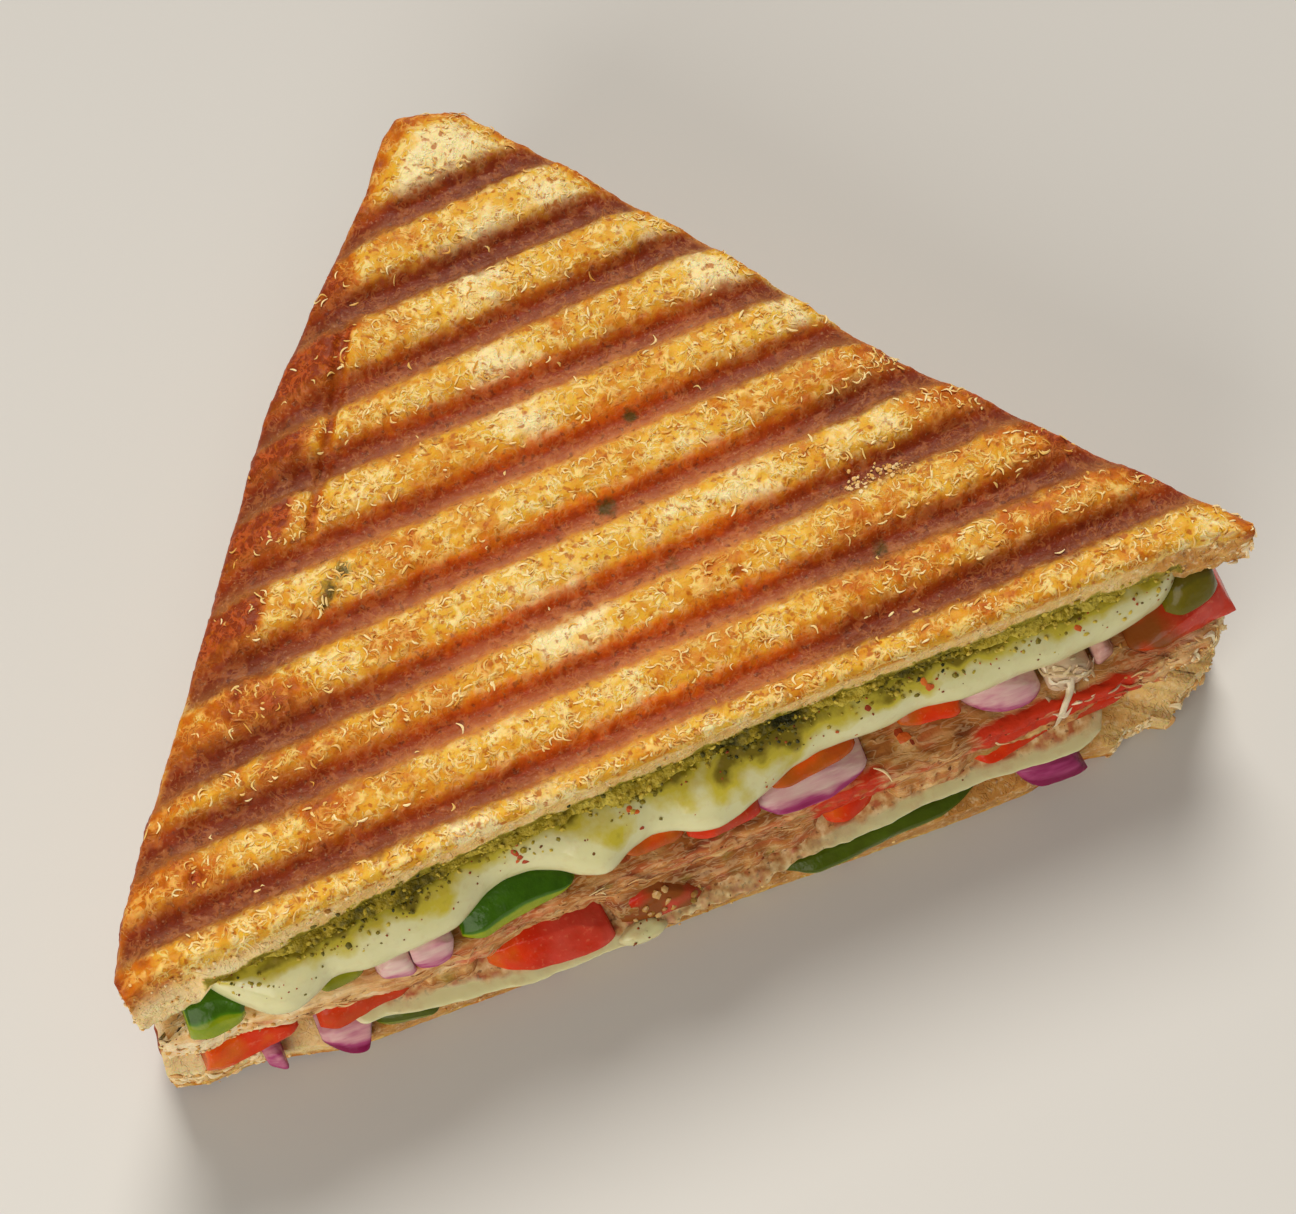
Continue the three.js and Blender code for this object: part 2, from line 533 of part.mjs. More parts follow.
function withPockets(solid) {
  let rest = solid;
  for (const spec of Object.values(SLIVERS)) rest = rest.subtract(pocket(spec));
  return geometryOf(rest);
}

// Colours and the finished group

const FINISH = {
  toast: { color: 0xd79a45, roughness: 0.85 },
  crumb: { color: 0xd9b071, roughness: 0.9 },
  chutney: { color: 0x8b8a22, roughness: 0.8 },
  cheese: { color: 0xe6dca0, roughness: 0.4 },
  pepper: { color: 0x4f8a1e, roughness: 0.3 },
  onion: { color: 0xd8a9b4, roughness: 0.35 },
  tomato: { color: 0xd8452a, roughness: 0.3 },
};

function piece(name, kind, geometry) {
  const material = new THREE.MeshStandardMaterial({ ...FINISH[kind], metalness: 0 });
  const mesh = new THREE.Mesh(geometry, material);
  mesh.name = name;
  return mesh;
}

const sandwich = new THREE.Group();
sandwich.add(
  piece('bread_top', 'toast', withPockets(breadTop())),
  piece('bread_middle', 'crumb', withPockets(breadMiddle())),
  piece('bread_bottom', 'toast', withPockets(breadBottom())),
  piece('chutney', 'chutney', chutney()),
  piece('cheese_upper', 'cheese', withPockets(cheeseUpper())),
  piece('cheese_lower', 'cheese', withPockets(cheeseLower())),
);
for (const [name, spec] of Object.entries(SLIVERS)) {
  sandwich.add(piece(name, spec.kind, sliver(spec)));
}

// Centre the plan on the origin; the lower lands of the grooves rest on Z = 0.
const bounds = new THREE.Box3().setFromObject(sandwich);
const shift = new THREE.Vector3(-(bounds.min.x + bounds.max.x) / 2, -(bounds.min.y + bounds.max.y) / 2, 0);
for (const mesh of sandwich.children) {
  mesh.geometry.translate(shift.x, shift.y, shift.z);
}

export default sandwich;
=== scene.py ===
"""Half of a grilled vegetable cheese sandwich, cut corner to corner.

Shapes are worked out in millimetres in the plan of the slice: X runs along the
cut, Y from the cut to the rounded corner and Z up. Each finished piece is then
moved into the model's own frame, in metres.
"""

import math

import bmesh
import bpy
import numpy as np
from bpy.props import FloatProperty, FloatVectorProperty, PointerProperty
from mathutils import Matrix, Vector, geometry, noise
from mathutils.bvhtree import BVHTree


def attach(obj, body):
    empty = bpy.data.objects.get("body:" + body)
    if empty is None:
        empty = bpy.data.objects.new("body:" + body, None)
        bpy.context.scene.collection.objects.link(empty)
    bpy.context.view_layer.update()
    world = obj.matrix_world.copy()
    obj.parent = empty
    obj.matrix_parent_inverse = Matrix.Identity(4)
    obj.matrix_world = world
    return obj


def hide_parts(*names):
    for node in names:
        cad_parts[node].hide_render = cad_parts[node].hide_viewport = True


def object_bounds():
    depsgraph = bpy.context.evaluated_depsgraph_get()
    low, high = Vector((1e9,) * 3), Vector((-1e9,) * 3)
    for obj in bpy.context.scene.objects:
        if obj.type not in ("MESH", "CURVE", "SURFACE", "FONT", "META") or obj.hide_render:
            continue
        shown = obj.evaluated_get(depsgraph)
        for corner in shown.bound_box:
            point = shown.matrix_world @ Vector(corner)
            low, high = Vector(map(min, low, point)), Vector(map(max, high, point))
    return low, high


bl_info = {
    "name": "Grilled vegetable cheese sandwich",
    "version": (1, 0, 0),
    "blender": (4, 5, 0),
    "location": "View3D > Sidebar > Sandwich",
    "description": "Builds half of a grilled sandwich with chutney, cheese and vegetables",
    "category": "Add Mesh",
}

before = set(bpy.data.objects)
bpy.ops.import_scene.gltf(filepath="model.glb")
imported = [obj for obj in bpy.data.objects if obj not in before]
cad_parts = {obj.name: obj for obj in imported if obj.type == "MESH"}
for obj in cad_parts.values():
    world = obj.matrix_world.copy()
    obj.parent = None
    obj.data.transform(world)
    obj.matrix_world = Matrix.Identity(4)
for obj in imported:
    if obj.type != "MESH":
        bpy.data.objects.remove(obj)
CAD_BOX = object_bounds()

MM = 0.001
PLAN_TO_FRAME = np.array((-0.2305, -39.92, 0.0))  # from the plan's origin to the model's, in mm

# Camera, in the plan, and the middle and the focal length of its picture in pixels
CAMERA_PLACE = (-45.9255, -96.504, 379.648)
CAMERA_RIGHT = Vector((0.92470, -0.38069, 0.0))
CAMERA_UP = Vector((0.35773, 0.86893, 0.34202))
CAMERA_LENS = 83.33
SENSOR = 36.0
PICTURE_MIDDLE = (648.0, 607.0)
PICTURE_FOCUS = 3000.0

# Heights of the layers, in mm
TOP = 40.0
TOP_UNDER = 34.5
CHUTNEY = (33.25, 34.2)
CHEESE_UPPER = (26.6, 32.95)
MIDDLE = (15.4, 21.5)
CHEESE_LOWER = (9.15, 10.95)
BOTTOM = (0.0, 5.9)
CRUST_BAND = 5.0
TOP_EDGE = 30.0
UPPER_TIP_FOOT = 31.2
MIDDLE_EDGE = 26.0
MIDDLE_TIP = 23.6
BOTTOM_EDGE = 10.4

# How far the soft layers run in from the cut
CHUTNEY_DEPTH = 9.0
CHEESE_UPPER_DEPTH = 12.0
CHEESE_LOWER_DEPTH = 14.0
CHUTNEY_ENDS = (-66.5, 66.0)

# Outlines shrink towards this point, which is about this far from the crust
INSET_CENTRE = np.array((0.0, 37.0))
INSET_RADIUS = 37.0

# Crust edge in plan, from the right corner over the blunt corner to the left
CRUST = np.array([
    (74.0, 1.2), (66.3, 10.3), (59.1, 18.2), (50.0, 29.7), (43.3, 37.0),
    (37.0, 46.4), (29.3, 59.0), (20.2, 71.0), (14.9, 78.5), (9.9, 84.7),
    (7.4, 88.0), (5.4, 90.7), (2.5, 92.1), (-0.4, 92.9), (-3.1, 93.4),
    (-5.4, 91.6), (-7.6, 88.9), (-10.5, 84.6), (-21.8, 72.8), (-33.1, 60.2),
    (-43.8, 44.6), (-50.3, 35.0), (-59.0, 22.6), (-66.3, 12.6), (-70.8, 5.4),
    (-73.6, -0.4),
])

# Edges of the layers where the knife went through, as x and y
RIM = [
    (-73.0, -3.6), (-69.0, -2.5), (-55.0, -2.3), (-46.0, -1.6), (-27.0, -0.5),
    (-8.0, 0.1), (9.0, 0.6), (33.0, 0.6), (66.0, 0.5), (74.0, -0.8),
]
CRUMB_FOOT = [
    (-73.0, -5.4), (-67.0, -4.8), (-55.0, -3.6), (-50.0, -2.8), (-41.0, -1.9), (-22.0, -0.6),
    (0.0, 0.0), (10.0, 0.6), (29.0, 0.2), (52.0, -0.1), (65.0, -0.8), (74.0, -1.4),
]
CHEESE_LIP = [
    (-64.5, -5.1), (-56.0, -4.7), (-50.0, -4.1), (-46.0, -3.5), (-38.0, -3.2), (-34.0, -2.1),
    (-27.0, -1.3), (-16.0, -1.4), (-9.0, -1.8), (2.0, -0.8), (12.0, -0.2), (27.0, -0.3),
    (32.0, 0.2), (37.0, -0.3), (42.0, -0.9), (54.0, -1.1), (65.5, -1.6),
]
CHEESE_NOSE = [
    (-64.5, -5.4), (-62.0, -6.3), (-60.0, -7.5), (-58.5, -8.9), (-56.0, -9.6), (-54.0, -9.4),
    (-52.0, -8.6), (-50.0, -7.2), (-48.0, -7.5), (-45.5, -8.1), (-40.0, -7.8), (-34.0, -7.3),
    (-31.5, -6.0), (-29.0, -4.5), (-26.0, -3.9), (-23.5, -4.0), (-20.0, -5.2), (-18.0, -6.7),
    (-16.0, -7.6), (-14.0, -7.8), (-12.0, -6.8), (-8.0, -5.6), (-5.0, -6.0), (-2.5, -7.2),
    (0.0, -7.7), (3.0, -7.3), (6.0, -6.2), (8.5, -5.2), (11.0, -4.3), (15.0, -3.6),
    (22.0, -3.9), (28.0, -3.3), (34.0, -4.0), (47.0, -4.2), (52.0, -3.8), (58.0, -3.4),
    (62.0, -2.9), (65.5, -2.2),
]
MIDDLE_FRONT = [
    (-72.0, -6.4), (-67.4, -7.2), (-62.6, -6.8), (-57.7, -7.8), (-52.9, -7.8), (-45.5, -8.8),
    (-40.6, -9.1), (-33.3, -9.1), (-25.8, -7.8), (-13.4, -8.0), (11.8, -8.4), (32.3, -8.3),
    (60.9, -8.2), (67.6, -7.6), (71.5, -4.4),
]
CHEESE_LOWER_NOSE = [
    (-67.0, -3.6), (-51.0, -5.0), (-49.0, -10.0), (-45.5, -10.0), (-40.6, -11.0), (-35.6, -11.8),
    (-30.6, -12.4), (-26.9, -13.0), (-14.3, -13.1), (-9.2, -12.5), (4.8, -12.3), (10.0, -11.2),
    (23.0, -11.2), (28.2, -10.5), (36.1, -10.6), (46.5, -11.5), (49.1, -11.6), (53.0, -10.4),
    (55.0, -6.0), (67.0, -3.6),
]
BOTTOM_FRONT = [
    (-73.4, -6.6), (-69.4, -7.8), (-63.1, -7.5), (-58.1, -8.4), (-53.1, -9.7), (-48.7, -10.3),
    (-31.6, -10.8), (0.6, -10.9), (13.6, -11.6), (33.4, -12.3), (42.7, -12.2), (50.9, -10.6),
    (55.1, -11.6), (57.0, -10.2), (61.5, -10.0), (63.0, -11.2), (65.7, -8.8), (69.9, -7.2),
    (73.6, -3.0),
]

# Pressed grooves: y where x is 0, and rise per mm of x
HALF_PITCH = 4.75
GROOVES = [
    (4.8, 0.034), (13.8, 0.032), (22.4, 0.055), (31.8, 0.048), (41.5, 0.041),
    (51.0, 0.036), (60.1, 0.070), (69.8, 0.043), (79.9, 0.080),
]
UNDER_GROOVE_DEPTH = 1.2
UNDER_GROOVES = [(5.6 + 2 * HALF_PITCH * k, 0.045) for k in range(-1, 10)]

# Slices and strips of vegetable. z is the heights of foot and top, depth how far the
# piece runs into the food, ends how far it thins at its left and right end, and top and
# foot the upper and lower edge of the front that shows, left to right. look is, of
# a pepper, how much of its front is skin, counted from its top, and how brown it is, of
# an onion, how magenta it is at its top and at its foot, and how brown, and of
# a tomato, its tone at its left and right end, from orange at 0 over red to soft pink
# at 1, and how brown with spice it is at these ends.
PIECES = {
    "pepper_upper_1": dict(
        z=(24.0, 28.2), depth=16, ends=(0.1, 0.3), look=(0.35, 0.0),
        top=[(-67.4, -4.7), (-65.0, -4.3), (-62.9, -4.6), (-60.7, -6.9)],
        foot=[(-68.3, -7.3), (-65.6, -8.0), (-61.1, -7.2)]),
    "pepper_upper_2": dict(
        z=(23.9, 25.9), depth=20, ends=(0.3, 0.3), look=(0.0, 0.45),
        top=[(-51.9, -7.7), (-49.5, -6.5), (-47.5, -6.8), (-46.2, -7.4)],
        foot=[(-51.8, -7.8), (-49.5, -7.8), (-46.4, -7.6)]),
    "pepper_upper_3": dict(
        z=(22.0, 26.2), depth=22, ends=(0.5, 0.8), look=(0.6, 0.0),
        top=[(-33.2, -6.8), (-30.9, -5.1), (-28.6, -4.0), (-25.1, -3.5), (-21.4, -4.0), (-18.4, -6.4)],
        foot=[(-33.5, -8.0), (-31.0, -8.5), (-28.3, -7.7), (-22.0, -6.9), (-18.0, -6.6)]),
    "pepper_upper_4": dict(
        z=(27.0, 30.6), depth=8, ends=(0.3, 0.3), look=(0.1, 0.8),
        top=[(64.0, -1.7), (66.2, -1.1), (68.4, -0.9), (69.7, -1.2)],
        foot=[(62.6, -3.6), (64.5, -4.5), (67.6, -3.9), (70.2, -2.8)]),
    "onion_upper_1": dict(
        z=(21.85, 25.2), depth=20, ends=(0.6, 0.2), look=(0.1, 0.5, 0.0),
        top=[(-44.8, -8.0), (-42.9, -7.5), (-40.6, -7.9)],
        foot=[(-44.9, -8.1), (-43.1, -8.8), (-40.3, -9.4)]),
    "onion_upper_2": dict(
        z=(21.85, 25.4), depth=22, ends=(0.1, 0.4), look=(0.2, 0.6, 0.0),
        top=[(-40.2, -7.7), (-37.9, -7.2), (-35.7, -7.6), (-34.9, -8.4)],
        foot=[(-39.9, -8.9), (-37.7, -9.5), (-35.2, -9.0)]),
    "onion_upper_3": dict(
        z=(21.85, 24.0), depth=24, ends=(0.4, 0.8), look=(0.15, 0.8, 0.0),
        top=[(6.7, -5.6), (8.7, -4.9), (12.2, -4.6), (16.8, -5.0), (21.2, -6.3)],
        foot=[(6.6, -6.5), (8.2, -8.0), (14.9, -8.1), (21.4, -6.4)]),
    "onion_upper_4": dict(
        z=(22.0, 25.6), depth=22, ends=(0.6, 0.6), look=(0.2, 0.55, 0.0),
        top=[(34.7, -3.4), (37.7, -3.4), (40.9, -3.9), (45.1, -5.1)],
        foot=[(35.3, -3.6), (37.3, -5.1), (39.7, -6.1), (42.9, -6.5), (45.4, -5.4)]),
    "onion_upper_5": dict(
        z=(22.0, 25.4), depth=18, ends=(0.3, 0.6), look=(0.3, 0.45, 0.3),
        top=[(52.7, -4.6), (53.6, -4.0), (55.3, -3.8)],
        foot=[(52.8, -5.2), (54.2, -4.7), (56.0, -4.1)]),
    "onion_upper_6": dict(
        z=(22.0, 25.4), depth=18, ends=(0.5, 0.6), look=(0.0, 0.05, 0.5),
        top=[(45.8, -4.2), (48.3, -4.2), (51.5, -4.8), (52.0, -5.2)],
        foot=[(46.0, -6.2), (47.1, -6.4), (49.3, -6.1), (52.3, -5.2)]),
    "tomato_upper_1": dict(
        z=(24.0, 26.0), depth=22, ends=(0.5, 0.3), look=(0.05, 0.1, 0.6, 0.6),
        top=[(-11.7, -6.4), (-9.3, -5.1), (-6.6, -4.8), (-4.1, -5.8)],
        foot=[(-11.2, -6.6), (-8.5, -6.3), (-4.0, -6.4)]),
    "tomato_upper_2": dict(
        z=(23.6, 25.6), depth=22, ends=(0.3, 0.3), look=(0.4, 0.6, 0.4, 0.4),
        top=[(-3.3, -6.0), (0.5, -6.8), (3.9, -6.6), (6.2, -5.7)],
        foot=[(-3.5, -7.0), (-0.5, -7.7), (3.1, -7.3), (6.1, -7.5)]),
    "tomato_upper_3": dict(
        z=(24.2, 26.1), depth=24, ends=(0.5, 0.2), look=(0.1, 0.3, 0.5, 0.1),
        top=[(26.4, -2.6), (29.9, -2.4), (33.9, -3.2)],
        foot=[(26.2, -3.8), (30.0, -4.3), (34.1, -5.1)]),
    "tomato_upper_4": dict(
        z=(21.9, 25.9), depth=10, ends=(0.97, 0.1), look=(0.4, 0.8, 1.1, 0.0),
        top=[(57.8, -5.9), (60.8, -5.4), (64.6, -4.7), (68.8, -3.3), (70.8, -2.4)],
        foot=[(58.8, -6.0), (62.1, -5.9), (65.8, -5.5), (69.2, -5.0), (72.4, -5.4)]),
    "tomato_upper_5": dict(
        z=(24.35, 26.2), depth=22, ends=(0.4, 0.6), look=(0.0, 0.1, 0.5, 0.5),
        top=[(8.8, -4.8), (12.6, -3.6), (15.3, -3.4), (20.2, -3.4)],
        foot=[(8.6, -5.5), (11.9, -5.3), (14.7, -5.1), (20.4, -4.2)]),
    "tomato_lower_1": dict(
        z=(11.4, 15.1), depth=12, ends=(0.0, 0.7), look=(0.1, 0.3, 0.0, 0.0),
        top=[(-67.5, -7.8), (-64.9, -7.1), (-62.5, -6.5), (-60.3, -6.6), (-56.3, -8.0)],
        foot=[(-68.5, -8.5), (-66.9, -9.0), (-63.8, -8.8), (-58.9, -8.2), (-56.0, -8.2)]),
    "tomato_lower_2": dict(
        z=(11.3, 15.1), depth=26, ends=(0.3, 0.7), look=(0.35, 0.4, 0.3, 0.3),
        top=[(-52.9, -8.0), (-49.4, -6.7), (-45.3, -5.3), (-41.3, -8.4)],
        foot=[(-53.7, -9.1), (-51.6, -9.7), (-46.1, -8.7), (-41.1, -8.6)]),
    "tomato_lower_3": dict(
        z=(11.3, 15.1), depth=28, ends=(0.3, 0.6), look=(0.2, 0.85, 0.1, 0.0),
        top=[(-31.3, -8.7), (-27.6, -8.6), (-23.8, -9.1), (-19.7, -9.1), (-15.8, -11.2)],
        foot=[(-31.4, -9.2), (-30.5, -10.4), (-25.8, -12.1), (-20.6, -12.6), (-15.2, -12.5)]),
    "tomato_lower_4": dict(
        z=(11.3, 15.1), depth=28, ends=(0.3, 0.7), look=(0.6, 0.8, 1.0, 1.2),
        top=[(-13.6, -9.4), (-10.2, -8.8), (-6.0, -10.0), (-3.4, -11.0)],
        foot=[(-13.9, -10.9), (-10.5, -11.2), (-3.4, -11.8)]),
    "tomato_lower_5": dict(
        z=(11.3, 15.1), depth=26, ends=(0.5, 0.5), look=(0.2, 0.4, 0.2, 0.2),
        top=[(14.6, -6.0), (17.9, -5.2), (22.2, -5.8)],
        foot=[(14.5, -7.9), (16.1, -9.0), (18.1, -9.1), (22.6, -7.3)]),
    "tomato_lower_6": dict(
        z=(11.3, 15.1), depth=20, ends=(0.5, 0.8), look=(0.3, 0.5, 0.0, 0.3),
        top=[(34.1, -5.7), (38.2, -5.0), (41.9, -4.6), (46.0, -4.8), (53.8, -6.3), (58.2, -7.4)],
        foot=[(34.6, -6.8), (37.3, -9.5), (42.7, -8.5), (46.6, -7.9), (58.6, -7.9)]),
    "pepper_base_1": dict(
        z=(6.2, 8.85), depth=18, ends=(0.5, 0.7), look=(0.5, 0.45),
        top=[(-47.0, -9.5), (-45.7, -9.2), (-42.7, -10.2), (-38.4, -11.3)],
        foot=[(-46.9, -10.0), (-44.3, -10.6), (-39.1, -11.4)]),
    "pepper_base_2": dict(
        z=(6.2, 8.85), depth=20, ends=(0.6, 0.8), look=(0.75, 0.35),
        top=[(7.9, -11.6), (10.2, -11.1), (21.2, -11.2), (24.4, -10.6), (34.8, -10.4)],
        foot=[(8.7, -11.7), (11.6, -12.9), (15.2, -12.8), (21.9, -12.1), (30.4, -11.9), (36.0, -10.5)]),
    "onion_base_1": dict(
        z=(6.2, 8.85), depth=12, ends=(0.3, 0.3), look=(0.5, 0.75, 0.0),
        top=[(-61.7, -8.7), (-60.3, -8.5), (-59.1, -9.6)],
        foot=[(-61.6, -9.0), (-60.8, -10.0), (-59.0, -11.0)]),
    "onion_base_2": dict(
        z=(6.2, 8.85), depth=18, ends=(0.3, 0.1), look=(0.3, 1.3, 0.0),
        top=[(-54.1, -9.0), (-49.7, -9.1), (-47.6, -9.9)],
        foot=[(-54.2, -9.2), (-53.0, -10.7), (-51.4, -12.0), (-49.0, -12.6)]),
    "onion_base_3": dict(
        z=(6.2, 8.85), depth=18, ends=(0.3, 0.1), look=(0.75, 1.35, 0.0),
        top=[(40.9, -10.9), (43.8, -11.4), (48.5, -12.0)],
        foot=[(42.0, -12.2), (43.6, -13.4), (50.2, -13.5)]),
}


# Small tools


def mix(a, b, t):
    return a + (b - a) * t


def ease(low, high, value):
    t = np.clip((value - low) / (high - low), 0, 1)
    return t * t * (3 - 2 * t)


def span(x, start, full, fading, end):
    """1 where x is from full to fading, and 0 before start and after end."""
    return ease(start, full, x) * (1 - ease(fading, end, x))


def ends_of(points, share):
    """x at a share of the way from a line's first point to its last."""
    return mix(points[0][0], points[-1][0], share)


def straight(points, x):
    """Value at x on a line through x and value points."""
    return np.interp(x, *np.array(points).T)


def along(points, x):
    """Value at x on such a line, rounded a little at its corners."""
    reach = 0.9
    return sum(straight(points, x + side) for side in (-reach, 0, 0, reach)) / 4


def lumps(points, size, seed=0.0):
    """Uneven ground of bumps about size mm across, between about -1 and 1."""
    spots = (points / size + seed).tolist()
    return np.array([noise.noise(spot) for spot in spots])


def pores(points, size, seed=0.0):
    """1 in the middle of scattered round holes and 0 between them."""
    spots = (points / size + seed).tolist()
    near = np.array([noise.voronoi(spot)[0][0] for spot in spots])
    return 1 - ease(0.12, 0.42, near)


def strands(points, size, seed=0.0):
    """1 along thin winding lines, like the torn fibres of crumb."""
    bend = lumps(points, size * 1.7, seed + 9)[:, None] * size * 0.8
    return 1 - ease(0.0, 0.16, np.abs(lumps(points + bend, size, seed)))


def spread(x, y, spots):
    """Sum of soft round spots, each x, y, radius and strength."""
    total = np.zeros(x.shape)
    for sx, sy, radius, strength in spots:
        total += strength * np.exp(-((x - sx) ** 2 + (y - sy) ** 2) / radius ** 2)
    return total


def linear(code):
    """Linear colour of an sRGB hex value."""
    parts = [int(code[i:i + 2], 16) / 255 for i in (1, 3, 5)]
    return tuple(c / 12.92 if c <= 0.04045 else ((c + 0.055) / 1.055) ** 2.4 for c in parts)


# Plan of a slice


def inset(points, distance):
    return INSET_CENTRE + (np.array(points) - INSET_CENTRE) * (1 - distance / INSET_RADIUS)


def spaced(line, step):
    """Points at even steps along an open line."""
    line = np.array(line, float)
    lengths = np.hypot(*np.diff(line, axis=0).T)
    reach = np.concatenate([[0.0], np.cumsum(lengths)])
    at = np.linspace(0, reach[-1], int(reach[-1] / step) + 1)
    return np.column_stack([np.interp(at, reach, line[:, k]) for k in (0, 1)])


def slice_outline(front, distance):
    return np.vstack([np.array(front), inset(CRUST, distance)])


def reaches(outline):
    """How far an edge is from the plan's centre, by direction."""
    ring = spaced(np.vstack([outline, outline[:1]]), 0.1) - INSET_CENTRE
    turn = np.arctan2(ring[:, 1], ring[:, 0])
    order = np.argsort(turn)
    return turn[order], np.hypot(ring[:, 0], ring[:, 1])[order]


def gap_to(line, x, y):
    """Distance to an open line, and the direction to the right of it there."""
    best = np.full(x.shape, np.inf)
    out = np.zeros(x.shape + (2,))
    for (ax, ay), (bx, by) in zip(line, line[1:]):
        dx, dy = bx - ax, by - ay
        length = math.hypot(dx, dy)
        t = np.clip(((x - ax) * dx + (y - ay) * dy) / length ** 2, 0, 1)
        gap = np.hypot(x - ax - t * dx, y - ay - t * dy)
        closer = gap < best
        best = np.where(closer, gap, best)
        out[closer] = (dy / length, -dx / length)
    return best, out


# Mesh tools


def points_of(bm):
    return np.array([v.co[:] for v in bm.verts])


def levels_of(bm):
    layer = bm.verts.layers.float["level"]
    return np.array([v[layer] for v in bm.verts])


def place_points(bm, points):
    for v, p in zip(bm.verts, points.tolist()):
        v.co = p


def trimmed_sheet(outline, cell):
    """Flat grid of square cells, trimmed to the hull of an outline."""
    low = outline.min(axis=0) - cell
    size = outline.max(axis=0) + cell - low
    count = np.ceil(size / cell).astype(int)
    middle = low + size / 2
    bm = bmesh.new()
    bm.verts.layers.float.new("level")
    fit = Matrix.Translation((*middle, 0)) @ Matrix.Diagonal((*size, 1, 1))
    bmesh.ops.create_grid(bm, x_segments=int(count[0]), y_segments=int(count[1]), size=0.5, matrix=fit)
    flat = [Vector(p) for p in outline]
    hull = [flat[i] for i in geometry.convex_hull_2d(flat)]
    sides = sorted(zip(hull, hull[1:] + hull[:1]), key=lambda side: -(side[1] - side[0]).length)
    for a, b in sides:
        edge = b - a
        outward = Vector((edge.y, -edge.x, 0))
        if outward.dot(Vector((*(a - Vector(INSET_CENTRE)), 0))) < 0:
            outward.negate()
        everything = bm.verts[:] + bm.edges[:] + bm.faces[:]
        bmesh.ops.bisect_plane(
            bm, geom=everything, dist=1e-4, plane_co=(*a, 0), plane_no=outward, clear_outer=True)
    return bm


def draw_out(bm, edges, count):
    """Extrudes an open edge count times on the spot, numbering each new row."""
    level = bm.verts.layers.float["level"]
    first = max(v[level] for v in bm.verts)
    for row in range(1, count + 1):
        made = bmesh.ops.extrude_edge_only(bm, edges=edges)["geom"]
        fresh = {v for v in made if isinstance(v, bmesh.types.BMVert)}
        for v in fresh:
            v[level] = first + row
        edges = [e for e in made if isinstance(e, bmesh.types.BMEdge) and set(e.verts) <= fresh]
    return edges


def ring(bm, count):
    """Open ring of vertices round the unit circle."""
    bm.verts.layers.float.new("level")
    bmesh.ops.create_circle(bm, cap_ends=False, segments=count, radius=1.0)
    return bm.edges[:]


def close_ends(bm, start, end):
    bmesh.ops.holes_fill(bm, edges=start, sides=0)
    bmesh.ops.holes_fill(bm, edges=end, sides=0)


def tube(stations, around):
    """Closed tube. Gives the mesh and, for each vertex, 0..1 along it and 0..1 round it."""
    bm = bmesh.new()
    start = ring(bm, around)
    close_ends(bm, start, draw_out(bm, start, stations - 1))
    round_it = points_of(bm)
    a = (np.arctan2(round_it[:, 1], round_it[:, 0]) / (2 * math.pi)) % 1.0
    return bm, levels_of(bm) / (stations - 1), a


def ring_body(outline, step, levels):
    """Upright wall along an outline, closed above and below. Gives the mesh, its
    plan positions and 0..1 up the wall."""
    line = spaced(np.vstack([outline, outline[:1]]), step)[:-1]
    bm = bmesh.new()
    start = ring(bm, len(line))
    place_points(bm, np.column_stack([line, np.zeros(len(line))]))
    close_ends(bm, start, draw_out(bm, start, levels - 1))
    return bm, points_of(bm), levels_of(bm) / (levels - 1)


def repeated(bm, count):
    """Copies a small closed shape until there are count of it. Gives the number of the
    copy that each vertex belongs to."""
    number = bm.verts.layers.float.new("copy")
    have = 1
    while have < count:
        wanted = [v for v in bm.verts if v[number] < count - have]
        faces = {f for v in wanted for f in v.link_faces}
        edges = {e for f in faces for e in f.edges}
        made = bmesh.ops.duplicate(bm, geom=wanted + list(edges) + list(faces))["geom"]
        for v in made:
            if isinstance(v, bmesh.types.BMVert):
                v[number] += have
        have = min(2 * have, count)
    return np.array([v[number] for v in bm.verts]).astype(int)


def finish_piece(bm, name, material, masks, nodes=(), smooth=True):
    low, high = (np.array(corner) / MM for corner in CAD_BOX)
    place_points(bm, np.clip(points_of(bm) + PLAN_TO_FRAME, low, high) * MM)
    bmesh.ops.recalc_face_normals(bm, faces=bm.faces)
    mesh = bpy.data.meshes.new(name)
    bm.to_mesh(mesh)
    bm.free()
    if smooth:
        mesh.shade_smooth()
    for mask, values in masks.items():
        layer = mesh.attributes.new(mask, "FLOAT", "POINT")
        layer.data.foreach_set("value", np.asarray(values, dtype=np.float32))
    mesh.materials.append(material)
    piece = bpy.data.objects.new(name, mesh)
    bpy.context.collection.objects.link(piece)
    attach(piece, "root")
    if nodes:
        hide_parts(*nodes)


def surface_of(name):
    """Points of a finished piece in the plan, and the direction it faces at each."""
    mesh = bpy.data.objects[name].data
    found = []
    for kind in ("co", "normal"):
        values = np.empty(3 * len(mesh.vertices), dtype=np.float32)
        mesh.vertices.foreach_get(kind, values)
        found.append(values.reshape(-1, 3).astype(float))
    return found[0] / MM - PLAN_TO_FRAME, found[1]


